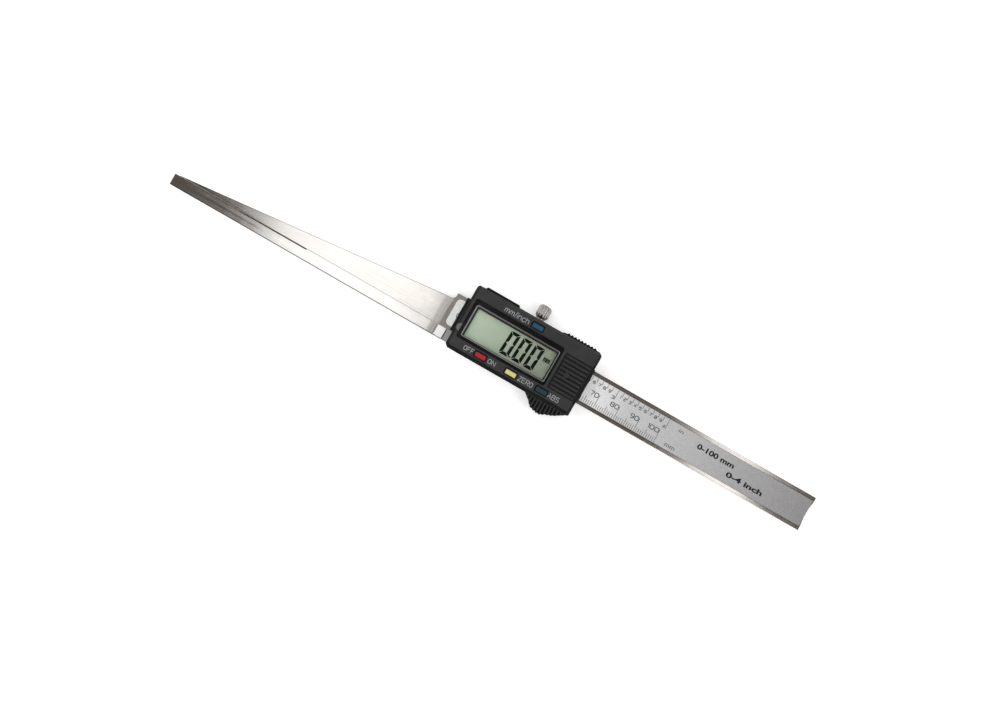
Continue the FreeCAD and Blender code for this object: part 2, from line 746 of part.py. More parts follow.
def front_housing():
    body = new_body("housing_body")
    base = [
        ("housing_left + base_corner_left", "housing_low"),
        ("housing_right - base_corner_right", "housing_low"),
        ("housing_right", "housing_low + base_corner_right"),
        ("housing_right", "housing_high - base_corner"),
        ("housing_right - base_corner", "housing_high"),
        ("housing_left + base_corner", "housing_high"),
        ("housing_left", "housing_high - base_corner"),
        ("housing_left", "housing_low + base_corner_left"),
    ]
    face = [
        ("plateau_left + face_corner_left", "plateau_low"),
        ("plateau_right - face_corner_right", "plateau_low"),
        ("plateau_right", "plateau_low + face_corner_right"),
        ("plateau_right", "plateau_high - face_corner"),
        ("plateau_right - face_corner", "plateau_high"),
        ("plateau_left + face_corner", "plateau_high"),
        ("plateau_left", "plateau_high - face_corner"),
        ("plateau_left", "plateau_low + face_corner_left"),
    ]
    pad(body, "housing_pad", base, "web_back", "housing_side - web_back")
    loft(body, "housing_bevel", [("housing_side", base), ("housing_front", face)])
    pad(body, "housing_rest", [
        ("rest_left - rest_slope", "housing_high - beyond"),
        ("rest_right + rest_slope", "housing_high - beyond"),
        ("rest_right + rest_slope", "housing_high"),
        ("rest_right", "housing_high + rest_rise"),
        ("rest_left", "housing_high + rest_rise"),
        ("rest_left - rest_slope", "housing_high"),
    ], "web_back", "rest_top - web_back")
    pad(body, "housing_grip_pad", [
        ("grip_pad_left - grip_pad_slope", "housing_high - beyond"),
        ("housing_right - beyond", "housing_high - beyond"),
        ("housing_right - grip_pad_slope", "housing_high"),
        ("housing_right - 2 * grip_pad_slope", "housing_high + grip_pad_rise"),
        ("grip_pad_left", "housing_high + grip_pad_rise"),
        ("grip_pad_left - grip_pad_slope", "housing_high"),
    ], "web_back", "rest_top - web_back")
    foot = "housing_high + grip_pad_rise"
    tooth = pad(body, "housing_tooth", [
        ("tooth_first - tooth_pitch / 2", "housing_high"),
        ("tooth_first + tooth_pitch / 2", "housing_high"),
        ("tooth_first + tooth_pitch / 2", foot),
        ("tooth_first", f"{foot} + tooth_rise"),
        ("tooth_first - tooth_pitch / 2", foot),
    ], "web_back", "rest_top - web_back")
    doc.recompute()
    teeth = body.newObject("PartDesign::LinearPattern", "housing_teeth")
    teeth.Originals = [tooth]
    teeth.Direction = (next(item for item in body.Origin.OriginFeatures if item.Role == "X_Axis"), [""])
    teeth.Occurrences = TEETH
    teeth.setExpression("Length", cells(f"{TEETH - 1} * tooth_pitch"))
    body.Tip = teeth
    doc.recompute()
    cavity = block("housing_cavity", ("housing_left + wall", "housing_right - wall"),
                   ("housing_low + wall", "housing_high - wall"), ("web_back - beyond", "roof_back"))
    left_end = ("housing_left - beyond", "housing_left + wall + beyond")
    right_end = ("housing_right - wall - beyond", "housing_right + beyond")
    wiper_y = ("wiper_low - slip", "wiper_high + slip")
    wiper_z = ("web_back - beyond", "wiper_front + slip")
    ends = [
        block("housing_beam_way", (left_end[0], right_end[1]), ("strip_low - slip", "web_top + slip"),
              ("web_back - beyond", "web_front + slip")),
        block("housing_left_wiper", left_end, wiper_y, wiper_z),
        block("housing_right_wiper", right_end, wiper_y, wiper_z),
        rod("housing_lock_relief", ("0", "housing_high - wall - beyond", "lock_z"),
            "neck_radius + lock_relief", "wall + 2 * beyond", along="y"),
    ]
    above = "housing_front + beyond"
    x, y = margin(BEZEL, "0")
    bezel_seat = block("housing_bezel_blank", x, y, ("bezel_back", above))
    bezel_seat = rounded("housing_bezel_seat", bezel_seat, size("bezel_corner"), upright)
    x, y = margin(VIEW, "pane_margin + slip")
    pane_seat = block("housing_pane_seat", x, y, ("roof_back - beyond", "housing_front"))
    notch = rod("housing_window_notch", ("bezel_left", "notch_y", "housing_front - notch_deep"),
                "notch_radius", "notch_deep + beyond")
    key_holes = [
        block(f"housing_{name}_hole", *key_box(x, y, "key_gap"), ("roof_back - beyond", above))
        for name, (x, y) in KEYS.items()
    ]
    shelf = "lid_step - lid_tongue_thick"
    lid_x = ("lid_left - lid_gap", "housing_right + beyond")
    lid_slot = block("housing_lid_slot", lid_x, ("lid_low - lid_gap", "lid_high + lid_gap"),
                     (f"{shelf} - lid_gap", above))
    lid_tongue = block("housing_lid_groove", lid_x,
                       ("lid_low - lid_tongue - lid_gap", "lid_high + lid_tongue + lid_gap"),
                       (f"{shelf} - lid_gap", "lid_step + lid_gap"))
    lid_well = block("housing_lid_well", ("lid_left + lid_well_margin", "housing_right - wall"),
                     ("lid_low + lid_well_margin", "lid_high - lid_well_margin"),
                     ("roof_back - lid_well_deep", "lid_step"))
    shell = cut("housing_shell", body, [cavity] + ends)
    ledges = [
        block(f"housing_ledge_{number}", ("lid_left - ledge_lap", "housing_right - wall + slip"), y,
              (f"{shelf} - lid_gap - wall", "roof_back + slip"))
        for number, y in enumerate([("lid_low - ledge_margin", "lid_low + ledge_lap"),
                                    ("lid_high - ledge_lap", "lid_high + ledge_margin")])
    ]
    bosses = [
        rod(f"housing_boss_{number}", (x, y, "web_front + slip"), "boss_radius",
            "roof_back - web_front")
        for number, (x, y) in enumerate(HOUSING_SCREWS)
    ]
    screw_bores = [
        rod(f"housing_bore_{number}", (x, y, "web_front - beyond"), "shank_radius",
            "rail_back + slip + housing_screw_long - web_front + beyond")
        for number, (x, y) in enumerate(HOUSING_SCREWS)
    ]
    whole = fuse("housing_whole", [shell, *ledges, *bosses])
    openings = [bezel_seat, pane_seat, notch, lid_slot, lid_tongue, lid_well, *key_holes, *screw_bores]
    node("front_housing", cut("housing_cut", whole, openings))
    node("housing_screws",
         screw_set("housing_screw", HOUSING_SCREWS, "rail_back", "housing_screw_long"))


RIBS = 9


def battery_cover():
    shelf = "lid_step - lid_tongue_thick"
    top = "housing_front - rib_rise"
    plate = block("lid_plate", ("lid_left", "plateau_right"), ("lid_low", "lid_high"), (shelf, top))
    end = block("lid_end", ("plateau_right - slip", "housing_right"), ("lid_low", "lid_high"),
                (shelf, "lid_step"))
    tongue = block("lid_tongue_plate", ("lid_left", "housing_right - wall"),
                   ("lid_low - lid_tongue", "lid_high + lid_tongue"), (shelf, "lid_step"))
    ribs = [
        block(f"lid_rib_{number}", ("lid_left + rib_end", "plateau_right - rib_end"),
              (f"lid_low + rib_margin + {number} * rib_pitch",
               f"lid_low + rib_margin + {number} * rib_pitch + rib_wide"),
              (f"{top} - slip", "housing_front"))
        for number in range(RIBS)
    ]
    arrow = doc.addObject("Part::Prism", "lid_arrow")
    arrow.Polygon = 3
    arrow.setExpression("Circumradius", cells("arrow_radius"))
    arrow.setExpression("Height", cells("rib_rise + arrow_rise"))
    place(arrow, ("arrow_x", "arrow_y", top), "z")
    node("battery_cover", fuse("lid_whole", [plate, end, tongue, arrow, *ribs]))


GRIP_EDGE = [
    ("13.3", "-17.6"), ("15", "-19.3"), ("17.3", "-20.1"), ("19.4", "-20.5"), ("22.3", "-19.1"),
    ("25.3", "-18.1"), ("27.8", "-16.6"),
]


def thumb_grip():
    body = new_body("grip_body")
    pad(body, "grip_pad", [
        ("grip_left", "grip_root"), *GRIP_EDGE, ("grip_right", "grip_root"),
    ], "grip_back", "grip_front - grip_back")
    foot = box_corners("grip_left", "grip_right", "grip_root - slip", "strip_low - slip")
    pad(body, "grip_foot", foot, "grip_back", "web_back - slip - grip_back")
    node("thumb_grip", body)


def wipers():
    for name, x in (("wiper_left", ("wiper_left_end", "frame_left - slip")),
                    ("wiper_right", ("frame_right + slip", "wiper_right_end"))):
        node(name, block(f"{name}_blank", x, ("wiper_low", "wiper_high"),
                         ("beam_back + beam_thick + slip", "wiper_front")))


def write_parts():
    """Check every object, then write each sub-part to its own file."""
    doc.recompute()
    failed = [item.Name for item in doc.Objects if "Invalid" in item.State or "Error" in item.State]
    failed += [name for name, solid in NODES.items() if solid.Shape.isNull() or not solid.Shape.isValid()]
    if failed:
        raise ValueError(f"failed: {failed}")
    os.makedirs("parts", exist_ok=True)
    for name, solid in NODES.items():
        solid.Shape.exportStep(os.path.join("parts", f"{name}.step"))


for build in (beam_wedge, scale, end_stop, feeler_strip, slider_frame, gib, lock, rear_cover,
              electronics, display, keys, front_housing, battery_cover, thumb_grip, wipers):
    build()
write_parts()
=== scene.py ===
import json
import math

import bmesh
import bpy
from mathutils import Matrix, Vector


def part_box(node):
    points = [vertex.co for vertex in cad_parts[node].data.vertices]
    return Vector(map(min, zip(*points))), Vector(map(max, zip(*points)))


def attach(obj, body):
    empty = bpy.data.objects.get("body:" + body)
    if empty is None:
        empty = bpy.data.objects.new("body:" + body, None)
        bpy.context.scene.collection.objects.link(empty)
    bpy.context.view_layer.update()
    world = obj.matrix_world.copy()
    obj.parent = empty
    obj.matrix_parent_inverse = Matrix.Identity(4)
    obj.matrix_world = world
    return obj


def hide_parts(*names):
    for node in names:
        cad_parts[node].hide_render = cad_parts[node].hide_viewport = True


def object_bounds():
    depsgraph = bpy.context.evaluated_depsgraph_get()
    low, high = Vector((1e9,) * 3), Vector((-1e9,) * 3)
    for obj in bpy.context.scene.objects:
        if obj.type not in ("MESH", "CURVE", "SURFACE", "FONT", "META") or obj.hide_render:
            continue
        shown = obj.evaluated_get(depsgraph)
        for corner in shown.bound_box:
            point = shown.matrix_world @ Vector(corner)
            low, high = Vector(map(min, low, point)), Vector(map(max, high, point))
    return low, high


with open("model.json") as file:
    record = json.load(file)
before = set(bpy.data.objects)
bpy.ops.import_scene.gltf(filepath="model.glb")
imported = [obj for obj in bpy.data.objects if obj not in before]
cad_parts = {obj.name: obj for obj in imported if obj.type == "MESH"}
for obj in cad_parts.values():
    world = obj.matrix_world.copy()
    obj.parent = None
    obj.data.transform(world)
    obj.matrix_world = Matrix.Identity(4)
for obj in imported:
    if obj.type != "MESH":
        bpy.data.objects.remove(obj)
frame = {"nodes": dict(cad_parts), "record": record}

CAD_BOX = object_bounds()

MM = 0.001
INK = 0.012 * MM
HAIR = 0.01 * MM

RECORD = frame["record"]
BODY_OF = {node: body for body, nodes in RECORD["behaviour"]["bodies"].items() for node in nodes}
SLOT_OF = {part["node"]: part["material_slot"] for part in RECORD["subparts"]}

# --- places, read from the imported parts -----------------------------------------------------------

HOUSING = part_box("front_housing")
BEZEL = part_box("display_bezel")
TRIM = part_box("display_frame")
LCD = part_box("lcd_panel")
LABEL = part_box("scale_label")
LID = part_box("battery_cover")
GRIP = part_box("thumb_grip")
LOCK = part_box("lock_screw")
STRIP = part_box("feeler_strip")
KEY = {name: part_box(f"button_{name}") for name in ("power", "zero", "abs", "units")}

FACE_Z = HOUSING[1].z
LABEL_Z = LABEL[1].z
SCALE_ZERO = -31 * MM
NOTCH_Y = -4.45 * MM
NOTCH_RADIUS = 1.95 * MM


def middle(box):
    return 0.5 * (box[0] + box[1])


# --- nodes and node groups ------------------------------------------------------------------------

def put(tree, kind, inputs=None, **settings):
    """Add a node, set its own settings, and give its inputs a value or a link."""
    made = tree.nodes.new(kind)
    for key, value in settings.items():
        setattr(made, key, value)
    for key, value in (inputs or {}).items():
        if isinstance(value, bpy.types.NodeSocket):
            tree.links.new(value, made.inputs[key])
        else:
            made.inputs[key].default_value = value
    return made


def maths(tree, operation, first, second=0.0, third=0.0, clamp=False):
    """The result of one math node."""
    values = {0: first, 1: second}
    if operation in ("MULTIPLY_ADD", "SMOOTH_MIN", "SMOOTH_MAX", "COMPARE"):
        values[2] = third
    return put(tree, "ShaderNodeMath", values, operation=operation, use_clamp=clamp).outputs[0]


def remap(tree, value, low, high, to_low=0.0, to_high=1.0, kind="LINEAR"):
    """A value carried from one range to another, and held inside it."""
    return put(tree, "ShaderNodeMapRange", {
        "Value": value, "From Min": low, "From Max": high, "To Min": to_low, "To Max": to_high,
    }, interpolation_type=kind).outputs["Result"]


def blend_colour(tree, share, first, second, kind="MIX"):
    """Two colours mixed by a share."""
    made = put(tree, "ShaderNodeMix", data_type="RGBA", blend_type=kind)
    for socket, value in ((made.inputs[0], share), (made.inputs[6], first), (made.inputs[7], second)):
        if isinstance(value, bpy.types.NodeSocket):
            tree.links.new(value, socket)
        else:
            socket.default_value = value
    return made.outputs[2]


def rgb(red, green, blue):
    return (red, green, blue, 1.0)


def grey(value, warmth=0.0):
    return (value * (1 + warmth), value, value * (1 - warmth), 1.0)


def place_of(tree, scale=(1.0, 1.0, 1.0), offset=(0.0, 0.0, 0.0)):
    """The object's own coordinates, scaled along each axis."""
    source = put(tree, "ShaderNodeTexCoord").outputs["Object"]
    return put(tree, "ShaderNodeMapping", {"Vector": source, "Scale": scale, "Location": offset}).outputs[0]


def new_group(name, inputs, outputs):
    """An empty shader group with named sockets, its input node and its output node."""
    group = bpy.data.node_groups.new(name, "ShaderNodeTree")
    for label, value in inputs.items():
        kind = "NodeSocketVector" if isinstance(value, tuple) else "NodeSocketFloat"
        socket = group.interface.new_socket(name=label, in_out="INPUT", socket_type=kind)
        socket.default_value = value
    for label in outputs:
        group.interface.new_socket(name=label, in_out="OUTPUT", socket_type="NodeSocketFloat")
    return group, group.nodes.new("NodeGroupInput"), group.nodes.new("NodeGroupOutput")


def group_coordinates(tree, scale):
    source = put(tree, "ShaderNodeTexCoord").outputs["Object"]
    return put(tree, "ShaderNodeVectorMath", {0: source, 1: scale}, operation="MULTIPLY").outputs[0]


def grain_group():
    """Fine grinding lines along one axis, with broader streaks and a few long scratches."""
    group, given, result = new_group(
        "Ground Grain", {"Lines": (60.0, 9000.0, 9000.0), "Streaks": (12.0, 900.0, 900.0)},
        ["Height", "Streak", "Scratch"])
    lines = put(group, "ShaderNodeTexNoise", {
        "Vector": group_coordinates(group, given.outputs["Lines"]), "Scale": 1.0, "Detail": 3.0,
        "Roughness": 0.6,
    }).outputs["Fac"]
    streak = put(group, "ShaderNodeTexNoise", {
        "Vector": group_coordinates(group, given.outputs["Streaks"]), "Scale": 1.0, "Detail": 4.0,
        "Roughness": 0.7,
    }).outputs["Fac"]
    slow = put(group, "ShaderNodeVectorMath", {0: given.outputs["Streaks"], 1: (0.9, 1.6, 1.6)},
               operation="MULTIPLY").outputs[0]
    rare = put(group, "ShaderNodeTexNoise", {
        "Vector": group_coordinates(group, slow), "Scale": 1.0, "Detail": 1.0, "Distortion": 0.15,
    }).outputs["Fac"]
    links = group.links
    links.new(lines, result.inputs["Height"])
    links.new(remap(group, streak, 0.3, 0.7), result.inputs["Streak"])
    links.new(remap(group, rare, 0.70, 0.76), result.inputs["Scratch"])
    return group


def skin_group():
    """The fine spark-eroded texture of a moulding tool, with slow changes of gloss from handling."""
    group, given, result = new_group("Moulded Skin", {"Grain Size": 7000.0, "Handling Size": 140.0},
                                     ["Height", "Handling"])
    coordinates = put(group, "ShaderNodeTexCoord").outputs["Object"]
    pits = put(group, "ShaderNodeTexVoronoi", {"Vector": coordinates, "Scale": given.outputs["Grain Size"]},
               feature="SMOOTH_F1").outputs["Distance"]
    fine = put(group, "ShaderNodeTexNoise", {
        "Vector": coordinates, "Scale": given.outputs["Grain Size"], "Detail": 3.0,
    }).outputs["Fac"]
    slow = put(group, "ShaderNodeTexNoise", {
        "Vector": coordinates, "Scale": given.outputs["Handling Size"], "Detail": 5.0, "Roughness": 0.65,
    }).outputs["Fac"]
    group.links.new(maths(group, "ADD", pits, fine), result.inputs["Height"])
    group.links.new(remap(group, slow, 0.35, 0.68), result.inputs["Handling"])
    return group


def rub_group():
    """Edges that hands and cases wear, and edges painted in shade: the piece's edge attribute, broken up."""
    group, given, result = new_group("Edge Wear and Shade", {"Amount": 0.6, "Patch Size": 900.0}, ["Mask"])
    # the mask is real wear on most parts, and painted shade on the keys and on the beam and strip steel
    edge = put(group, "ShaderNodeAttribute", attribute_type="GEOMETRY", attribute_name="edge").outputs["Fac"]
    patches = put(group, "ShaderNodeTexNoise", {
        "Vector": put(group, "ShaderNodeTexCoord").outputs["Object"], "Scale": given.outputs["Patch Size"],
        "Detail": 4.0, "Roughness": 0.7,
    }).outputs["Fac"]
    edge_wear_and_shade = maths(group, "MULTIPLY", edge, remap(group, patches, 0.35, 0.62))
    group.links.new(maths(group, "MULTIPLY", edge_wear_and_shade, given.outputs["Amount"], clamp=True),
                    result.inputs["Mask"])
    return group


def speckle_group():
    """Small random dots of tone, as in a metallic or mottled print."""
    group, given, result = new_group("Speckle", {"Dot Size": 3500.0, "Cloud Size": 260.0}, ["Dots", "Clouds"])
    coordinates = put(group, "ShaderNodeTexCoord").outputs["Object"]
    dots = put(group, "ShaderNodeTexWhiteNoise", {"Vector": put(group, "ShaderNodeVectorMath", {
        0: put(group, "ShaderNodeVectorMath", {"Vector": coordinates, "Scale": given.outputs["Dot Size"]},
               operation="SCALE").outputs[0],
    }, operation="FLOOR").outputs[0]}, noise_dimensions="3D").outputs["Value"]
    soft = put(group, "ShaderNodeTexNoise", {
        "Vector": coordinates, "Scale": given.outputs["Dot Size"], "Detail": 2.0,
    }).outputs["Fac"]
    clouds = put(group, "ShaderNodeTexNoise", {
        "Vector": coordinates, "Scale": given.outputs["Cloud Size"], "Detail": 5.0, "Roughness": 0.7,
    }).outputs["Fac"]
    both = maths(group, "ADD", maths(group, "MULTIPLY", dots, 0.45), maths(group, "MULTIPLY", soft, 0.55))
    group.links.new(both, result.inputs["Dots"])
    group.links.new(remap(group, clouds, 0.3, 0.7), result.inputs["Clouds"])
    return group


GRAIN = grain_group()
SKIN = skin_group()
EDGE_WEAR_AND_SHADE = rub_group()
SPECKLE = speckle_group()


def use(tree, group, **values):
    """Place a group in a material with its own values; words in a name are joined by underscores."""
    made = put(tree, "ShaderNodeGroup")
    made.node_tree = group
    for label, value in values.items():
        made.inputs[label.replace("_", " ")].default_value = value
    return made.outputs


def new_material(name, **fixed):
    """A material with one Principled shader, whose plain values are set on its own sockets."""
    material = bpy.data.materials.new(name)
    material.use_nodes = True
    tree = material.node_tree
    tree.nodes.clear()
    shader = put(tree, "ShaderNodeBsdfPrincipled",
                 {label.replace("_", " "): value for label, value in fixed.items()})
    ending = put(tree, "ShaderNodeOutputMaterial")
    tree.links.new(shader.outputs[0], ending.inputs["Surface"])
    return material, tree, shader


def emboss(tree, shader, height, strength, distance):
    """Feed a height to the shader's normal."""
    bump = put(tree, "ShaderNodeBump", {"Height": height, "Strength": strength, "Distance": distance})
    tree.links.new(bump.outputs[0], shader.inputs["Normal"])


# --- materials ------------------------------------------------------------------------------------

def ground_steel(name, tone, roughness, lines=(60.0, 9000.0, 9000.0), streaks=(12.0, 900.0, 900.0),
                 warmth=0.03,
                 contrast=0.16, depth=0.12, wear_and_shade_amount=0.35, edge_tone=1.25, rough_and_shaded_stretch=None, painted_gleam_from=None, rim=None):
    """Ground or brushed metal: lines in the bump, streaks in the tone and gloss, edges of another tone:
    lighter as wear, and painted shade where the edge tone is below one.

    The rough and shaded stretch is four places along X: the metal turns rougher as machined from the first to
    the second, and back from the third to the fourth; its darker tone there is painted shade standing in for
    the dark reflections of the run-out. Beyond the painted gleam place the tone is painted brighter, a
    painted reflection. The rim is a painted shade line along one front edge, where the chamfer falls in
    shade: its slope, its place where X is 0, how far it reaches in Y, its end along X and its tone.
    """
    material, tree, shader = new_material(name, Metallic=1.0, Anisotropic=0.35)
    grain = use(tree, GRAIN, Lines=lines, Streaks=streaks)
    edge_wear_and_shade = use(tree, EDGE_WEAR_AND_SHADE, Amount=wear_and_shade_amount, Patch_Size=700.0)["Mask"]
    handled = use(tree, SKIN, Grain_Size=4000.0, Handling_Size=90.0)["Handling"]
    dark, light = grey(tone * (1 - contrast), warmth), grey(min(1.0, tone * (1 + contrast)), warmth * 0.6)
    colour = blend_colour(tree, grain["Streak"], dark, light)
    colour = blend_colour(tree, maths(tree, "MULTIPLY", grain["Scratch"], 0.35), colour,
                          grey(tone * 0.62, warmth))
    # edge tone: above one it is wear; below one, as on the beam and strip, it is painted shade
    colour = blend_colour(tree, edge_wear_and_shade, colour, grey(min(1.0, tone * edge_tone), warmth * 0.5))
    gloss = maths(tree, "MULTIPLY_ADD", grain["Streak"], 0.10, roughness - 0.05)
    place = put(tree, "ShaderNodeTexCoord").outputs
    along, across = put(tree, "ShaderNodeSeparateXYZ", {0: place["Object"]}).outputs[:2]
    # painted reflection: past the given place the tone is painted brighter
    if painted_gleam_from:
        painted_gleam = remap(tree, along, painted_gleam_from - 0.5 * MM, painted_gleam_from + 0.5 * MM)
        colour = blend_colour(tree, painted_gleam, colour, grey(min(1.0, tone * 1.65), warmth * 0.3))
        gloss = maths(tree, "MULTIPLY_ADD", painted_gleam, 0.22, gloss)
    # partly painted shade: the stretch is rougher as machined, and its darker tone is painted shade
    if rough_and_shaded_stretch:
        rough_and_shaded = maths(tree, "MULTIPLY", remap(tree, along, rough_and_shaded_stretch[0], rough_and_shaded_stretch[1]),
                       remap(tree, along, rough_and_shaded_stretch[3], rough_and_shaded_stretch[2]))
        colour = blend_colour(tree, maths(tree, "MULTIPLY", rough_and_shaded, 0.9), colour,
                              grey(tone * 0.44, warmth * 1.6))
        gloss = maths(tree, "MULTIPLY_ADD", rough_and_shaded, 0.30, gloss)
    # painted shade: a dark line along one front edge
    if rim:
        slope, start, reach, end, shade_line_tone = rim
        off = maths(tree, "SUBTRACT", maths(tree, "MULTIPLY_ADD", along, -slope, across), start)
        near = remap(tree, off, reach * 1.15, reach * 0.85)
        near = maths(tree, "MULTIPLY", near, remap(tree, along, end + 0.2 * MM, end - 0.2 * MM))
        facing = put(tree, "ShaderNodeSeparateXYZ", {0: place["Normal"]}).outputs[2]
        near = maths(tree, "MULTIPLY", near, remap(tree, facing, 0.4, 0.7))
        colour = blend_colour(tree, near, colour, grey(shade_line_tone, warmth))
    tree.links.new(colour, shader.inputs["Base Color"])
    gloss = maths(tree, "MULTIPLY_ADD", handled, 0.06, gloss)
    gloss = maths(tree, "MULTIPLY_ADD", edge_wear_and_shade, -0.10, gloss, clamp=True)
    tree.links.new(gloss, shader.inputs["Roughness"])
    emboss(tree, shader, grain["Height"], depth, 0.004 * MM)
    return material


def moulded(name, colour, roughness, grain=6500.0, depth=0.35, wear_and_shade_amount=0.5, wear_and_shade_colour=None, handling=0.08,
            specular=0.5,
            side=1.0, shaded_groove=None):
    """Moulded plastic: an eroded skin on its front, plainer sides painted darker as shade, and edges lighter
    from wear unless a dark edge colour is given, which paints shade on them.

    The last argument gives the pair of heights between which the painted shade on the floor of a grooved face
    gives way to its ridges.
    """
    material, tree, shader = new_material(name, **{"Specular_IOR_Level": specular})
    skin = use(tree, SKIN, Grain_Size=grain, Handling_Size=150.0)
    edge_wear_and_shade = use(tree, EDGE_WEAR_AND_SHADE, Amount=wear_and_shade_amount, Patch_Size=1200.0)["Mask"]
    place = put(tree, "ShaderNodeTexCoord").outputs
    # painted shade: faces not facing up, and floors below the given heights, take the darker colour
    front = remap(tree, put(tree, "ShaderNodeSeparateXYZ", {0: place["Normal"]}).outputs[2], 0.85, 0.97)
    if shaded_groove:
        height = put(tree, "ShaderNodeSeparateXYZ", {0: place["Object"]}).outputs[2]
        front = maths(tree, "MULTIPLY", front, remap(tree, height, *shaded_groove))
    lighter = tuple(min(1.0, part * 1.22 + 0.004) for part in colour[:3]) + (1.0,)
    darker = tuple(part * side for part in colour[:3]) + (1.0,)
    tone = blend_colour(tree, skin["Handling"], colour, lighter)
    tone = blend_colour(tree, front, darker, tone)
    # edges: lighter as wear by default; a given dark edge colour paints shade on them
    tone = blend_colour(tree, edge_wear_and_shade, tone, wear_and_shade_colour or tuple(part * 1.8 + 0.008 for part in colour[:3]) + (1.0,))
    tree.links.new(tone, shader.inputs["Base Color"])
    gloss = maths(tree, "MULTIPLY_ADD", skin["Handling"], -handling, roughness + handling / 2)
    gloss = maths(tree, "MULTIPLY_ADD", edge_wear_and_shade, -0.12, gloss, clamp=True)
    tree.links.new(gloss, shader.inputs["Roughness"])
    emboss(tree, shader, maths(tree, "MULTIPLY", skin["Height"], front), depth, 0.012 * MM)
    return material


def printed(name, colour, roughness=0.5):
    """A screen-printed ink with slightly uneven cover."""
    material, tree, shader = new_material(name, Roughness=roughness, Specular_IOR_Level=0.08)
    cover = use(tree, SPECKLE, Dot_Size=9000.0, Cloud_Size=1500.0)
    thin = tuple(1.25 * part for part in colour[:3]) + (1.0,)
    share = maths(tree, "MULTIPLY", cover["Clouds"], 0.5)
    tree.links.new(blend_colour(tree, share, colour, thin), shader.inputs["Base Color"])
    emboss(tree, shader, cover["Dots"], 0.15, 0.004 * MM)
    return material


def scale_foil():
    """Silver-grey foil with a metallic speckle; its tone is painted light: near white from the wedge's end to
    just past the housing, against the housing's shade, and greyer along the beam as a painted fall of light.
    """
    material, tree, shader = new_material("scale foil", Metallic=0.1, Specular_IOR_Level=0.3)
    dots = use(tree, SPECKLE, Dot_Size=3600.0, Cloud_Size=420.0)
    along = put(tree, "ShaderNodeSeparateXYZ",
                {0: put(tree, "ShaderNodeTexCoord").outputs["Object"]}).outputs[0]
    # painted light: the tone falls from near white past the housing to grey at the far end
    far = blend_colour(tree, remap(tree, along, 54 * MM, LABEL[1].x), rgb(0.50, 0.50, 0.503),
                       rgb(0.238, 0.233, 0.238))
    base = blend_colour(tree, remap(tree, along, 32 * MM, 54 * MM, kind="SMOOTHSTEP"),
                        rgb(0.93, 0.94, 0.945), far)
    speck = blend_colour(tree, remap(tree, dots["Dots"], 0.2, 0.8), grey(0.76), grey(1.18))
    colour = blend_colour(tree, 0.75, base, speck, kind="MULTIPLY")
    colour = blend_colour(tree, maths(tree, "MULTIPLY", dots["Clouds"], 0.08), colour, grey(0.62))
    tree.links.new(colour, shader.inputs["Base Color"])
    tree.links.new(remap(tree, dots["Dots"], 0.2, 0.8, 0.46, 0.64), shader.inputs["Roughness"])
    emboss(tree, shader, dots["Dots"], 0.25, 0.01 * MM)
    return material


def laminate(name, colour, copper=0.0):
    """Circuit laminate: woven glass under a tinted mask, with copper tracks showing faintly through it."""
    material, tree, shader = new_material(name, Roughness=0.35, Coat_Weight=0.3, Coat_Roughness=0.15)
    weave = put(tree, "ShaderNodeTexWave", {"Vector": place_of(tree), "Scale": 900.0, "Distortion": 0.5},
                bands_direction="X").outputs["Fac"]
    across = put(tree, "ShaderNodeTexWave", {"Vector": place_of(tree), "Scale": 900.0, "Distortion": 0.5},
                 bands_direction="Y").outputs["Fac"]
    tracks = put(tree, "ShaderNodeTexBrick", {
        "Vector": place_of(tree), "Scale": 260.0, "Mortar Size": 0.16, "Color1": grey(0.0),
        "Color2": grey(0.15),
        "Mortar": grey(1.0),
    }).outputs["Fac"]
    darker = tuple(part * 0.7 for part in colour[:3]) + (1.0,)
    tone = blend_colour(tree, maths(tree, "MULTIPLY", weave, across), darker, colour)
    tone = blend_colour(tree, maths(tree, "MULTIPLY", tracks, copper), tone, rgb(0.45, 0.30, 0.12))
    tree.links.new(tone, shader.inputs["Base Color"])
    emboss(tree, shader, maths(tree, "ADD", maths(tree, "MULTIPLY", weave, 0.3), tracks), 0.3, 0.02 * MM)
    return material


def lcd_glass():
    """The reflective ground of the liquid crystal: grey-green and mottled, with painted light: lighter at its
    upper left, and a faint painted glow of its own colour.
    """
    material, tree, shader = new_material("liquid crystal ground with painted light", Emission_Strength=0.16)
    mottle = use(tree, SPECKLE, Dot_Size=2600.0, Cloud_Size=700.0)
    split = put(tree, "ShaderNodeSeparateXYZ", {0: put(tree, "ShaderNodeTexCoord").outputs["Object"]})
    along = remap(tree, split.outputs[0], LCD[0].x, LCD[1].x)
    up = remap(tree, split.outputs[1], LCD[1].y, LCD[0].y, 0.0, 0.25)
    # painted light: the tone runs from light at the upper left to dark at the right
    share = maths(tree, "POWER", maths(tree, "ADD", along, up, clamp=True), 0.8)
    colour = blend_colour(tree, share, rgb(0.52, 0.62, 0.485), rgb(0.175, 0.21, 0.154))
    colour = blend_colour(tree, maths(tree, "MULTIPLY", mottle["Dots"], 0.22), colour, rgb(0.62, 0.66, 0.56))
    colour = blend_colour(tree, maths(tree, "MULTIPLY", mottle["Clouds"], 0.18), colour,
                          rgb(0.36, 0.42, 0.33))
    tree.links.new(colour, shader.inputs["Base Color"])
    # painted glow: the ground emits its own colour
    tree.links.new(colour, shader.inputs["Emission Color"])
    tree.links.new(remap(tree, mottle["Dots"], 0.2, 0.8, 0.38, 0.55), shader.inputs["Roughness"])
    emboss(tree, shader, mottle["Dots"], 0.12, 0.01 * MM)
    return material


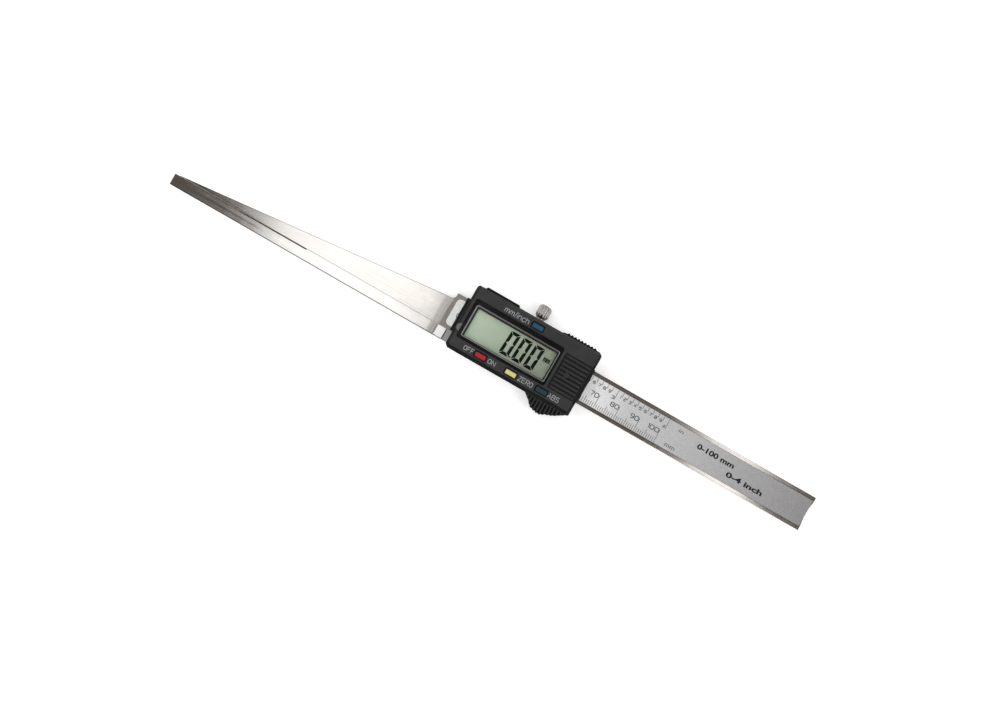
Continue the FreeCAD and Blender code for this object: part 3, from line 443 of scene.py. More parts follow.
def clear_pane():
    """The clear acrylic window, with a few faint wipe marks."""
    material, tree, shader = new_material("clear window", Transmission_Weight=1.0, IOR=1.2,
                                          Base_Color=rgb(0.97, 0.985, 0.975))
    marks = use(tree, GRAIN, Lines=(300.0, 2500.0, 300.0), Streaks=(80.0, 1200.0, 80.0))
    tree.links.new(remap(tree, marks["Scratch"], 0.0, 1.0, 0.02, 0.16), shader.inputs["Roughness"])
    return material


def gloss_black():
    """The gloss bezel round the display, with fine wipe marks."""
    material, tree, shader = new_material("gloss bezel", Specular_IOR_Level=0.12, Coat_Weight=0.08,
                                          Coat_Roughness=0.1)
    marks = use(tree, GRAIN, Lines=(500.0, 3000.0, 500.0), Streaks=(60.0, 1500.0, 60.0))
    cloud = use(tree, SKIN, Grain_Size=5000.0, Handling_Size=170.0)["Handling"]
    tree.links.new(blend_colour(tree, cloud, grey(0.004), rgb(0.008, 0.0085, 0.0085)),
                   shader.inputs["Base Color"])
    gloss = maths(tree, "MULTIPLY_ADD", marks["Scratch"], 0.2, 0.20)
    tree.links.new(maths(tree, "MULTIPLY_ADD", cloud, 0.12, gloss), shader.inputs["Roughness"])
    return material


def elastomer():
    """The layered contact strip: thin dark and pale layers along its length."""
    material, tree, shader = new_material("contact elastomer", Roughness=0.6)
    layers = put(tree, "ShaderNodeTexWave", {"Vector": place_of(tree), "Scale": 3000.0}, bands_direction="X")
    tree.links.new(blend_colour(tree, layers.outputs["Fac"], grey(0.05), rgb(0.5, 0.45, 0.4)),
                   shader.inputs["Base Color"])
    return material


ROUND = {"lines": (2500.0, 2500.0, 2500.0), "streaks": (400.0, 400.0, 400.0)}
BLACK = rgb(0.026, 0.0268, 0.0265)

MATERIALS = {
    # Beam and strip steel: the dark edge tones, the darker stretches and the rim lines are painted shade; the
    # strip's bright end is a painted reflection.
    "beam_steel": ground_steel("beam steel", 0.57, 0.14, warmth=0.045, contrast=0.08, depth=0.05, wear_and_shade_amount=4.0,
                               edge_tone=0.20, rough_and_shaded_stretch=(-41 * MM, -37.3 * MM, -24 * MM, -20 * MM),
                               rim=(0.1, 8.76 * MM, -0.24 * MM, -39.3 * MM, 0.24)),
    "strip_steel": ground_steel("strip steel", 0.59, 0.14, warmth=0.03, contrast=0.08, depth=0.05, wear_and_shade_amount=4.0,
                                edge_tone=0.08, painted_gleam_from=-36.9 * MM,
                                rough_and_shaded_stretch=(-41.0 * MM, -38.9 * MM, -37.4 * MM, -36.9 * MM),
                                rim=(0.0, STRIP[0].y, 0.38 * MM, -33.2 * MM, 0.07)),
    "frame_steel": ground_steel("frame steel", 0.36, 0.40, warmth=0.02, contrast=0.10),
    "cover_steel": ground_steel("rear cover steel", 0.55, 0.30, warmth=0.02),
    "screw_steel": ground_steel("screw steel", 0.50, 0.30, **ROUND),
    "spring_steel": ground_steel("contact spring steel", 0.72, 0.22, **ROUND),
    "cell_steel": ground_steel("cell can steel", 0.70, 0.20, **ROUND),
    "nickel": ground_steel("nickel plate", 0.30, 0.24, warmth=0.075, contrast=0.12, wear_and_shade_amount=0.7, **ROUND),
    "gib_brass": ground_steel("gib brass", 0.50, 0.32, warmth=0.34),
    "trim_silver": ground_steel("silver trim", 0.26, 0.34, warmth=-0.015, contrast=0.10),
    "scale_print": scale_foil(),
    "scale_laminate": laminate("scale laminate", rgb(0.20, 0.28, 0.10)),
    "board_green": laminate("board mask", rgb(0.02, 0.15, 0.06), copper=0.6),
    "electrode_board": laminate("electrode mask", rgb(0.03, 0.17, 0.08), copper=0.8),
    "carrier_white": moulded("carrier white", rgb(0.78, 0.78, 0.74), 0.45, wear_and_shade_amount=0.0),
    "lcd_face": lcd_glass(),
    "elastomer": elastomer(),
    "clear_window": clear_pane(),
    "bezel_black": gloss_black(),
    # Housing, cover, grip and wiper: the side and height values paint shade on their sides and on the floors
    # between ridges.
    "housing_black": moulded("housing black", BLACK, 0.46, grain=5200.0, specular=0.12, side=0.06,
                             shaded_groove=(FACE_Z - 0.4 * MM, FACE_Z - 0.08 * MM)),
    "cover_black": moulded("battery cover black", rgb(0.022, 0.0225, 0.023), 0.48, grain=5200.0,
                           specular=0.18,
                           side=0.2, shaded_groove=(LID[1].z - 0.45 * MM, LID[1].z - 0.2 * MM)),
    "grip_black": moulded("thumb grip black", rgb(0.046, 0.047, 0.048), 0.5, grain=5200.0, specular=0.2,
                          side=0.15, shaded_groove=(GRIP[1].z - 0.6 * MM, GRIP[1].z - 0.15 * MM)),
    "tab": moulded("window tab", rgb(0.085, 0.087, 0.083), 0.12, depth=0.05, wear_and_shade_amount=0.0),
    "wiper_black": moulded("wiper rubber", rgb(0.008, 0.0085, 0.009), 0.62, grain=3500.0, wear_and_shade_amount=0.2,
                           specular=0.15,
                           side=0.4),
    # Keys: the dark edge colours paint the shade round each key, and the side values paint shade on their
    # sides.
    "key_red": moulded("red key", rgb(0.29, 0.012, 0.018), 0.36, depth=0.15, wear_and_shade_amount=4.0,
                       wear_and_shade_colour=rgb(0.075, 0.004, 0.006),
                       specular=0.3, side=0.25),
    "key_yellow": moulded("yellow key", rgb(0.50, 0.47, 0.18), 0.38, depth=0.15, wear_and_shade_amount=4.0,
                          wear_and_shade_colour=rgb(0.17, 0.15, 0.06), specular=0.3, side=0.25),
    "key_teal": moulded("teal key", rgb(0.008, 0.034, 0.040), 0.36, depth=0.15, wear_and_shade_amount=4.0,
                        wear_and_shade_colour=rgb(0.003, 0.009, 0.010), specular=0.25, side=0.3),
    "key_blue": moulded("blue key", rgb(0.010, 0.058, 0.105), 0.36, depth=0.15, wear_and_shade_amount=4.0,
                        wear_and_shade_colour=rgb(0.004, 0.016, 0.028), specular=0.25, side=0.3),
}
INKS = {
    "tick": printed("scale ink", rgb(0.035, 0.036, 0.045), 0.55),
    "range": printed("range ink", rgb(0.010, 0.010, 0.011), 0.5),
    "legend": printed("legend ink", rgb(0.27, 0.283, 0.295), 0.5),
    "segment": printed("dark segment", rgb(0.002, 0.003, 0.002), 0.4),
    # painted shadow inside the display frame
    "frame_shadow": printed("painted window frame shadow", rgb(0.040, 0.036, 0.032), 0.4),
    # painted shadow round the keys
    "key_shadow": printed("painted key shadow", rgb(0.003, 0.003, 0.003), 0.6),
    # painted shade in the strip's relief, and a dark joint line
    "gap_shade_and_joint": printed("gap shade and joint line", rgb(0.045, 0.040, 0.042), 0.35),
}

for node_name, cad_object in frame["nodes"].items():
    cad_object.data.materials.clear()
    cad_object.data.materials.append(MATERIALS[SLOT_OF[node_name]])


# --- piece making ---------------------------------------------------------------------------------

def add_piece(name, mesh, body, slot, material=None, stands_for=()):
    """Put a finished mesh in the scene, on its body."""
    piece = bpy.data.objects.new(name, mesh)
    bpy.context.scene.collection.objects.link(piece)
    mesh.materials.clear()
    mesh.materials.append(material or MATERIALS[slot])
    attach(piece, body)
    if stands_for:
        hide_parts(*stands_for)
    return piece


def worked(mesh, modifiers):
    """A mesh with modifiers applied to it; each is a kind and its settings."""
    holder = bpy.data.objects.new("holder", mesh)
    bpy.context.scene.collection.objects.link(holder)
    for kind, settings in modifiers:
        modifier = holder.modifiers.new(kind.lower(), kind)
        for key, value in settings.items():
            setattr(modifier, key, value)
    evaluated = holder.evaluated_get(bpy.context.evaluated_depsgraph_get())
    result = bpy.data.meshes.new_from_object(evaluated)
    bpy.data.objects.remove(holder)
    return result


def clean_copy(node):
    """A CAD node's mesh with its loose triangles joined into plain flat faces."""
    build = bmesh.new()
    build.from_mesh(frame["nodes"][node].data)
    bmesh.ops.remove_doubles(build, verts=build.verts, dist=0.001 * MM)
    bmesh.ops.dissolve_limit(build, angle_limit=math.radians(0.3), verts=build.verts, edges=build.edges)
    return build


def soften(build, width, segments=3, sharp=28.0):
    """Round the sharp edges of a mesh, and mark the rounded faces with the edge attribute."""
    layer = build.faces.layers.float.get("edge") or build.faces.layers.float.new("edge")
    chosen = [edge for edge in build.edges if len(edge.link_faces) == 2
              and edge.calc_face_angle(0.0) > math.radians(sharp)]
    made = bmesh.ops.bevel(build, geom=chosen, offset=width, segments=segments, profile=0.5, affect="EDGES",
                           clamp_overlap=False, offset_type="OFFSET")
    for face in made["faces"]:
        face[layer] = 1.0


def finished(build, name, smooth=True):
    """Turn built geometry into a mesh with smooth rounded edges and flat faces."""
    bmesh.ops.recalc_face_normals(build, faces=build.faces)
    mesh = bpy.data.meshes.new(name)
    build.to_mesh(mesh)
    build.free()
    if smooth:
        mesh.shade_smooth()
        mesh.set_sharp_from_angle(angle=math.radians(42))
        mesh = worked(mesh, [("WEIGHTED_NORMAL", {"keep_sharp": True, "weight": 80})])
    mesh.name = name
    return mesh


def chamfer(build, wanted, width):
    """Grind a flat chamfer along the front edges that a test of their two ends picks."""
    back = min(vertex.co.z for vertex in build.verts) + 1.0 * MM
    layer = build.faces.layers.float.get("edge") or build.faces.layers.float.new("edge")
    chosen = []
    for edge in build.edges:
        ends = [vertex.co for vertex in edge.verts]
        if all(wanted(end) for end in ends) and abs(ends[0].z - ends[1].z) < HAIR and ends[0].z > back:
            if edge.calc_length() > 5 * MM and edge.calc_face_angle(0.0) > math.radians(60):
                chosen.append(edge)
    made = bmesh.ops.bevel(build, geom=chosen, offset=width, segments=1, profile=0.5, affect="EDGES",
                           clamp_overlap=True, offset_type="OFFSET")
    for face in made["faces"]:
        face[layer] = 1.0


def softened_node(node, width, name=None, segments=3, ground=None):
    """The CAD node with its edges rounded, shown in its place; ground is a test and a width for chamfer."""
    build = clean_copy(node)
    if ground:
        chamfer(build, *ground)
    soften(build, width * MM, segments)
    piece_name = name or f"{node}_shell"
    return add_piece(piece_name, finished(build, piece_name), BODY_OF[node], SLOT_OF[node],
                     stands_for=(node,))


def join_meshes(name, meshes):
    """Several meshes as one."""
    build = bmesh.new()
    for mesh in meshes:
        build.from_mesh(mesh)
    joined = bpy.data.meshes.new(name)
    build.to_mesh(joined)
    build.free()
    return joined


def box_mesh(low, high):
    """A closed rectangular mesh between two corners."""
    build = bmesh.new()
    size = Vector(high) - Vector(low)
    centre = 0.5 * (Vector(high) + Vector(low))
    bmesh.ops.create_cube(build, size=1.0, matrix=Matrix.Translation(centre) @ Matrix.Diagonal((*size, 1.0)))
    mesh = bpy.data.meshes.new("box")
    build.to_mesh(mesh)
    build.free()
    return mesh


def prism_mesh(corners, low, high):
    """A closed prism over a flat outline."""
    build = bmesh.new()
    base = [build.verts.new((x, y, low)) for x, y in corners]
    face = build.faces.new(base)
    raised = bmesh.ops.extrude_face_region(build, geom=[face])
    tops = [item for item in raised["geom"] if isinstance(item, bmesh.types.BMVert)]
    bmesh.ops.translate(build, verts=tops, vec=(0, 0, high - low))
    bmesh.ops.recalc_face_normals(build, faces=build.faces)
    mesh = bpy.data.meshes.new("prism")
    build.to_mesh(mesh)
    build.free()
    return mesh


def lettering(words, low, high, level, weight=0.0):
    """Raised print that fills a box on the face: its left, bottom and right, top corners, in metres."""
    curve = bpy.data.curves.new("lettering", "FONT")
    curve.body = words
    curve.extrude = 0.5
    curve.offset = weight
    curve.resolution_u = 4
    holder = bpy.data.objects.new("lettering", curve)
    bpy.context.scene.collection.objects.link(holder)
    evaluated = holder.evaluated_get(bpy.context.evaluated_depsgraph_get())
    mesh = bpy.data.meshes.new_from_object(evaluated)
    bpy.data.objects.remove(holder)
    xs = [vertex.co.x for vertex in mesh.vertices]
    ys = [vertex.co.y for vertex in mesh.vertices]
    wide, tall = max(xs) - min(xs), max(ys) - min(ys)
    scale = Matrix.Diagonal(((high[0] - low[0]) / wide, (high[1] - low[1]) / tall, INK, 1.0))
    mesh.transform(Matrix.Translation((low[0], low[1], level + INK / 2)) @ scale
                   @ Matrix.Translation((-min(xs), -min(ys), 0)))
    build = bmesh.new()
    build.from_mesh(mesh)
    bmesh.ops.remove_doubles(build, verts=build.verts, dist=1e-7)
    build.to_mesh(mesh)
    build.free()
    return mesh


# Each letter's lines, parted by a slash, as X and Y in hundredths of its width and height.
STROKES = {
    "0": "50 0 80 0 100 20 100 80 80 100 20 100 0 80 0 20 20 0 50 0",
    "1": "20 80 45 100 45 0",
    "2": "0 84 18 100 82 100 100 84 100 66 82 52 18 52 0 36 0 0 100 0",
    "3": "0 86 18 100 82 100 100 84 100 66 80 53 35 53 / 80 53 100 38 100 17 82 0 18 0 0 14",
    "4": "72 0 72 100 0 30 100 30",
    "5": "100 100 0 100 0 56 80 56 100 40 100 18 80 0 0 0",
    "6": "85 100 30 100 0 70 0 18 20 0 80 0 100 18 100 40 80 56 0 56",
    "7": "0 100 100 100 40 0",
    "8": ("50 54 18 54 2 68 2 86 18 100 82 100 98 86 98 68 82 54 50 54 / 50 0 18 0 0 16 0 38 18 54 82 "
          "54 100 38 100 16 82 0 50 0"),
    "9": "100 44 20 44 0 60 0 82 20 100 80 100 100 82 100 30 70 0 15 0",
    "A": "0 0 50 100 100 0 / 18 36 82 36",
    "B": "0 53 78 53 94 66 94 87 78 100 0 100 0 0 80 0 100 15 100 38 80 53",
    "E": "100 100 0 100 0 0 100 0 / 0 53 85 53",
    "F": "100 100 0 100 0 0 / 0 53 80 53",
    "N": "0 0 0 100 100 0 100 100",
    "O": "50 0 80 7 100 30 100 70 80 93 50 100 20 93 0 70 0 30 20 7 50 0",
    "R": "0 0 0 100 80 100 100 84 100 62 80 46 0 46 / 50 46 100 0",
    "S": "100 84 80 100 20 100 0 84 0 68 20 53 80 53 100 36 100 16 80 0 20 0 0 14",
    "Z": "0 100 100 100 0 0 100 0",
    "/": "0 -5 45 105",
    "c": "85 60 70 70 20 70 0 52 0 18 20 0 70 0 85 10",
    "h": "0 100 0 0 / 0 48 30 70 65 70 85 50 85 0",
    "i": "0 70 0 0 / 0 100 0 88",
    "m": "0 70 0 0 / 0 50 22 70 45 70 62 52 62 0 / 62 50 84 70 106 70 124 52 124 0",
    "n": "0 70 0 0 / 0 48 30 70 65 70 85 50 85 0",
}
LETTER_GAP = 0.34


def strokes_of(letter):
    """A letter's lines of points, in shares of its width and height."""
    lines = []
    for line in STROKES[letter].split("/"):
        shares = [int(part) / 100 for part in line.split()]
        lines.append(list(zip(shares[::2], shares[1::2])))
    return lines


def ribbon(build, points, half, low, high):
    """A mitred stroke of even width along a line of points, raised from one height to another."""
    sides = []
    for index, point in enumerate(points):
        before = (point - points[index - 1]).normalized() if index else None
        after = (points[index + 1] - point).normalized() if index + 1 < len(points) else None
        before, after = before or after, after or before
        along = (before + after).normalized()
        reach = half / max(along.dot(after), 0.5)
        out = Vector((-along.y, along.x)) * reach
        corners = (point + out, point - out)
        sides.append([build.verts.new((corner.x, corner.y, height)) for height in (low, high)
                      for corner in corners])
    for first, second in zip(sides, sides[1:]):
        for one, other in ((0, 1), (1, 3), (3, 2), (2, 0)):
            build.faces.new((first[one], first[other], second[other], second[one]))
    build.faces.new((sides[0][0], sides[0][2], sides[0][3], sides[0][1]))
    build.faces.new((sides[-1][0], sides[-1][1], sides[-1][3], sides[-1][2]))


def stroke_words(words, low, high, level, stroke):
    """Even-stroked technical lettering that fills a box on the face, given by two corners."""
    placed, pen = [], 0.0
    for letter in words:
        lines = strokes_of(letter)
        wide = max(x for line in lines for x, _ in line)
        placed.append((lines, pen))
        pen += wide + LETTER_GAP
    half = stroke / 2
    wide, tall = high[0] - low[0] - stroke, high[1] - low[1] - stroke
    across = wide / max(pen - LETTER_GAP, 0.6)
    build = bmesh.new()
    for lines, start in placed:
        for line in lines:
            points = [Vector((low[0] + half + (start + x) * across, low[1] + half + y * tall))
                      for x, y in line]
            ribbon(build, points, half, level, level + INK)
    bmesh.ops.recalc_face_normals(build, faces=build.faces)
    mesh = bpy.data.meshes.new("strokes")
    build.to_mesh(mesh)
    build.free()
    return mesh


# --- geometry nodes -------------------------------------------------------------------------------

def geometry_tree(name, inputs):
    """An empty geometry tree with named inputs; gives the tree, its input node and the inputs'
    identifiers."""
    tree = bpy.data.node_groups.new(name, "GeometryNodeTree")
    tree.interface.new_socket(name="Geometry", in_out="OUTPUT", socket_type="NodeSocketGeometry")
    identifiers = {}
    for label, value in inputs.items():
        kind = "NodeSocketInt" if isinstance(value, int) else "NodeSocketFloat"
        if value is None:
            kind = "NodeSocketMaterial"
        socket = tree.interface.new_socket(name=label, in_out="INPUT", socket_type=kind)
        if value is not None:
            socket.default_value = value
        identifiers[label] = socket.identifier
    return tree, tree.nodes.new("NodeGroupInput"), identifiers


def end_tree(tree, geometry, material):
    """Close a geometry tree with Realize Instances and Set Material."""
    solid = put(tree, "GeometryNodeRealizeInstances", {"Geometry": geometry}).outputs[0]
    coated = put(tree, "GeometryNodeSetMaterial", {"Geometry": solid, "Material": material}).outputs[0]
    leave = tree.nodes.new("NodeGroupOutput")
    tree.links.new(coated, leave.inputs[0])


def grown(tree, identifiers, values):
    """The plain mesh that a geometry tree makes with these input values."""
    holder = bpy.data.objects.new("holder", bpy.data.meshes.new("holder"))
    modifier = holder.modifiers.new("growth", "NODES")
    modifier.node_group = tree
    for label, value in values.items():
        modifier[identifiers[label]] = value
    bpy.context.scene.collection.objects.link(holder)
    evaluated = holder.evaluated_get(bpy.context.evaluated_depsgraph_get())
    mesh = bpy.data.meshes.new_from_object(evaluated)
    holder.modifiers.clear()
    bpy.data.objects.remove(holder)
    return mesh


def tick_tree():
    """A row of ticks from a base line, longer at every fifth and every tenth."""
    tree, given, identifiers = geometry_tree("Tick Row", {
        "Count": 101, "Spacing": 1.0 * MM, "Start": 0.0, "Base": 0.0, "Level": 0.0, "Width": 0.15 * MM,
        "Short": 2.0 * MM, "Middle": 3.0 * MM, "Long": 4.0 * MM, "Up": 1.0, "Ink": None,
    })
    outputs = given.outputs
    start = put(tree, "ShaderNodeCombineXYZ", {0: outputs["Start"], 1: outputs["Base"], 2: outputs["Level"]})
    step = put(tree, "ShaderNodeCombineXYZ", {0: outputs["Spacing"]})
    line = put(tree, "GeometryNodeMeshLine", {
        "Count": outputs["Count"], "Start Location": start.outputs[0], "Offset": step.outputs[0],
    })
    index = put(tree, "GeometryNodeInputIndex").outputs[0]
    fifth = put(tree, "FunctionNodeCompare", {2: put(tree, "ShaderNodeMath", {0: index, 1: 5.0},
                operation="MODULO").outputs[0], 3: 0}, data_type="INT", operation="EQUAL").outputs[0]
    tenth = put(tree, "FunctionNodeCompare", {2: put(tree, "ShaderNodeMath", {0: index, 1: 10.0},
                operation="MODULO").outputs[0], 3: 0}, data_type="INT", operation="EQUAL").outputs[0]
    length = put(tree, "GeometryNodeSwitch", {"Switch": fifth, "False": outputs["Short"],
                                              "True": outputs["Middle"]},
                 input_type="FLOAT").outputs[0]
    length = put(tree, "GeometryNodeSwitch", {"Switch": tenth, "False": length, "True": outputs["Long"]},
                 input_type="FLOAT").outputs[0]
    cube = put(tree, "GeometryNodeMeshCube", {"Size": (1.0, 1.0, 1.0)}).outputs[0]
    raised = put(tree, "GeometryNodeTransform", {"Geometry": cube, "Translation": (0.0, 0.5, 0.5)}).outputs[0]
    signed = maths(tree, "MULTIPLY", length, outputs["Up"])
    size = put(tree, "ShaderNodeCombineXYZ", {0: outputs["Width"], 1: signed, 2: INK}).outputs[0]
    row = put(tree, "GeometryNodeInstanceOnPoints",
              {"Points": line.outputs[0], "Instance": raised, "Scale": size})
    end_tree(tree, row.outputs[0], outputs["Ink"])
    return tree, identifiers


def knurl_tree():
    """A straight-knurled head about the Y axis: a wrapped grid with chamfered ends and closed centres."""
    tree, given, identifiers = geometry_tree("Knurled Head", {
        "Teeth": 36, "Radius": 3.0 * MM, "Depth": 0.2 * MM, "Start": 0.0, "Length": 6.0 * MM,
        "Chamfer": 0.5 * MM,
        "Height": 3.0 * MM, "Metal": None,
    })
    outputs = given.outputs
    around = put(tree, "ShaderNodeMath", {0: outputs["Teeth"], 1: 8.0, 2: 1.0},
                 operation="MULTIPLY_ADD").outputs[0]
    grid = put(tree, "GeometryNodeMeshGrid", {"Size X": 1.0, "Size Y": 1.0, "Vertices X": around,
                                              "Vertices Y": 8})
    split = put(tree, "ShaderNodeSeparateXYZ", {0: put(tree, "GeometryNodeInputPosition").outputs[0]})
    turn = maths(tree, "MULTIPLY", maths(tree, "ADD", split.outputs[0], 0.5), 2 * math.pi)
    step = maths(tree, "ROUND", maths(tree, "MULTIPLY", maths(tree, "ADD", split.outputs[1], 0.5), 7.0))
    inner = maths(tree, "MULTIPLY", maths(tree, "GREATER_THAN", step, 0.5),
                  maths(tree, "LESS_THAN", step, 6.5))
    end = maths(tree, "ADD", maths(tree, "LESS_THAN", step, 1.5), maths(tree, "GREATER_THAN", step, 5.5),
                clamp=True)
    wave = maths(tree, "PINGPONG", maths(tree, "MULTIPLY", maths(tree, "ADD", split.outputs[0], 0.5),
                                         outputs["Teeth"]), 0.5)
    wave = maths(tree, "POWER", maths(tree, "MULTIPLY", wave, 2.0), 2.5)
    ridge = maths(tree, "MULTIPLY", wave, outputs["Depth"])
    fluted = maths(tree, "SUBTRACT", outputs["Radius"], ridge)
    turned = maths(tree, "SUBTRACT", outputs["Radius"], outputs["Chamfer"])
    radius = put(tree, "GeometryNodeSwitch", {"Switch": end, "False": fluted, "True": turned},
                 input_type="FLOAT").outputs[0]
    radius = maths(tree, "MULTIPLY", radius, inner)
    ramp = put(tree, "ShaderNodeMapRange", {"Value": step, "From Min": 2.0, "From Max": 5.0,
                                            "To Min": outputs["Chamfer"], "To Max": maths(
                                                tree, "SUBTRACT", outputs["Length"],
                                                outputs["Chamfer"])}).outputs[0]
    late = maths(tree, "MULTIPLY", maths(tree, "GREATER_THAN", step, 5.5), outputs["Length"])
    along = put(tree, "GeometryNodeSwitch", {"Switch": end, "False": ramp, "True": late},
                input_type="FLOAT").outputs[0]
    place = put(tree, "ShaderNodeCombineXYZ", {
        0: maths(tree, "MULTIPLY", radius, maths(tree, "COSINE", turn)),
        1: maths(tree, "ADD", outputs["Start"], along),
        2: maths(tree, "ADD", outputs["Height"], maths(tree, "MULTIPLY", radius, maths(tree, "SINE", turn))),
    }).outputs[0]
    wrapped = put(tree, "GeometryNodeSetPosition", {"Geometry": grid.outputs[0],
                                                    "Position": place}).outputs[0]
    closed = put(tree, "GeometryNodeMergeByDistance",
                 {"Geometry": wrapped, "Distance": 0.002 * MM}).outputs[0]
    end_tree(tree, closed, outputs["Metal"])
    return tree, identifiers


# --- beam and scale -------------------------------------------------------------------------------

def scale_marks():
    """Every printed mark on the beam: two rows of ticks, their numbers and the units."""
    tree, identifiers = tick_tree()
    ink = INKS["tick"]
    low, high = LABEL[0].y + 0.15 * MM, LABEL[1].y - 0.15 * MM
    inch = 25.4 * MM
    marks = [
        grown(tree, identifiers, {"Count": 101, "Spacing": MM, "Start": SCALE_ZERO, "Base": low,
                                  "Level": LABEL_Z,
                                  "Width": 0.20 * MM, "Short": 2.1 * MM, "Middle": 3.3 * MM, "Long": 6.3 * MM,
                                  "Up": 1.0, "Ink": ink}),
        grown(tree, identifiers, {"Count": 41, "Spacing": inch / 10, "Start": SCALE_ZERO, "Base": high,
                                  "Level": LABEL_Z, "Width": 0.20 * MM, "Short": 2.0 * MM, "Middle": 2.0 * MM,
                                  "Long": 4.7 * MM, "Up": -1.0, "Ink": ink}),
    ]
    digit, gap, thin = 2.05 * MM, 0.25 * MM, 0.27 * MM
    for number in range(0, 101, 10):
        right = SCALE_ZERO + number * MM - gap if number else SCALE_ZERO + 0.9 * MM
        left = right - digit * len(str(number)) + (0.4 * MM if number == 100 else 0.0)
        marks.append(stroke_words(str(number), (left, -1.75 * MM), (right, 0.4 * MM), LABEL_Z, 0.33 * MM))
    for count in range(1, 41):
        right = SCALE_ZERO + count * inch / 10 - gap
        whole = count % 10 == 0
        number = count // 10 if whole else count % 10
        wide = (1.45 if whole else 1.3) * (0.5 if number == 1 else 1.0) * MM
        low, high = (1.4, 3.0) if whole else (3.05, 4.5)
        marks.append(stroke_words(str(number), (right - wide, low * MM), (right, high * MM), LABEL_Z, thin))
    unit_right = SCALE_ZERO + 109.5 * MM
    marks.append(lettering("in", (unit_right - 2.2 * MM, 3.25 * MM), (unit_right, 4.7 * MM), LABEL_Z))
    marks.append(lettering("mm", (unit_right - 4.7 * MM, -5.0 * MM), (unit_right, -3.7 * MM), LABEL_Z))
    add_piece("scale_marks", join_meshes("scale_marks", marks), "beam", "scale_print", ink)


def range_print():
    """The measuring range in bold print beyond the scale's end."""
    bold = 0.035
    first = SCALE_ZERO + 117.5 * MM
    second = SCALE_ZERO + 134.25 * MM
    words = [
        lettering("0-100 mm", (first, 0.95 * MM), (first + 18.2 * MM, 3.4 * MM), LABEL_Z, bold),
        lettering("0-4 inch", (second, -3.4 * MM), (second + 17.8 * MM, -1.0 * MM), LABEL_Z, bold),
    ]
    add_piece("range_print", join_meshes("range_print", words), "beam", "scale_print", INKS["range"])


def oil_lines():
    """Painted shade in the strip's relief beside the wedge, where the floor seen through the gap lies in the
    blade's shade, and a dark line in its joint with the slider.
    """
    top = STRIP[1].y
    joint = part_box("slider_frame")[0].x
    # painted shade: a dark sheet filling the relief gap
    relief = box_mesh((-135.9 * MM, top - 0.49 * MM, STRIP[0].z + 0.1 * MM),
                      (-102.9 * MM, top - HAIR, 3.6 * MM))
    seam = box_mesh((joint - 0.5 * MM, STRIP[0].y + 0.3 * MM, STRIP[1].z - 0.3 * MM),
                    (joint - 0.02 * MM, top - 0.1 * MM, STRIP[1].z + INK))
    add_piece("strip_gap_shade_and_joint_lines", join_meshes("strip_gap_shade_and_joint_lines", [relief, seam]), "slider", "strip_steel",
              INKS["gap_shade_and_joint"])


# --- display --------------------------------------------------------------------------------------

DIGIT_TALL = 11.0 * MM
DIGIT_WIDE = 4.7 * MM
STROKE = 1.42 * MM
SLANT = math.tan(math.radians(3.4))
SEGMENTS = "abcdef"


def segment_corners(part, left, base):
    """The mitred outline of one bar of a seven-bar digit, leaning to the right."""
    gap, half = 0.08 * MM, STROKE / 2
    right, top, waist = left + DIGIT_WIDE, base + DIGIT_TALL, base + DIGIT_TALL / 2
    flat = {"a": (top, -1), "d": (base, 1)}
    if part in flat:
        edge, inward = flat[part]
        corners = [(left + gap + 0.25 * half, edge), (right - gap - 0.25 * half, edge),
                   (right - STROKE - gap, edge + inward * STROKE),
                   (left + STROKE + gap, edge + inward * STROKE)]
    else:
        outer, inward = (left, 1) if part in "fe" else (right, -1)
        edge, end, towards = (top, waist, -1) if part in "fb" else (base, waist, 1)
        corners = [(outer, edge + towards * (gap + 0.25 * half)), (outer, end - towards * gap),
                   (outer + inward * half, end - towards * gap * 0.5),
                   (outer + inward * STROKE, end - towards * (gap + half)),
                   (outer + inward * STROKE, edge + towards * (STROKE + gap))]
    return [(x + (y - base) * SLANT, y) for x, y in corners]


def display_digits():
    """The reading 0.00, its decimal point and the unit."""
    level = LCD[1].z
    base = -5.6 * MM
    dark = []
    for left in (-8.6 * MM, -2.6 * MM, 3.35 * MM):
        dark += [prism_mesh(segment_corners(part, left, base), level, level + INK) for part in SEGMENTS]
    point = Vector((-3.4 * MM, -5.0 * MM))
    half_point = 0.36 * MM
    dark.append(box_mesh((point.x - half_point, point.y - half_point, level),
                         (point.x + half_point, point.y + half_point, level + INK)))
    unit_left = 9.8 * MM
    dark.append(lettering("mm", (unit_left, 0.55 * MM), (unit_left + 3.1 * MM, 2.45 * MM), level, 0.055))
    add_piece("display_segments", join_meshes("display_segments", dark), "slider", "lcd_face",
              INKS["segment"])


def rounded_ring(low, high, corner, widths, level, steps=6):
    """Rings of points round a rectangle with rounded corners.

    Each ring has an inward step, a height, and a further inward step on the left and upper sides.
    """
    build = bmesh.new()
    rings = []
    for inward, height, further in widths:
        radius = max(corner - inward, 0.15 * MM)
        ring = []
        for turn, (x, y) in enumerate(((high.x, high.y), (low.x, high.y), (low.x, low.y), (high.x, low.y))):
            sign_x, sign_y = (1, -1, -1, 1)[turn], (1, 1, -1, -1)[turn]
            in_x = inward + radius + (further if sign_x < 0 else 0.0)
            in_y = inward + radius + (further if sign_y > 0 else 0.0)
            centre = Vector((x - sign_x * in_x, y - sign_y * in_y))
            for step in range(steps + 1):
                angle = math.pi / 2 * (turn + step / steps)
                ring.append(build.verts.new((centre.x + radius * math.cos(angle),
                                             centre.y + radius * math.sin(angle),
                                             level + height)))
        rings.append(ring)
    for ring, following in zip(rings, rings[1:] + rings[:1]):
        for index in range(len(ring)):
            after = (index + 1) % len(ring)
            build.faces.new((ring[index], ring[after], following[after], following[index]))
    return build


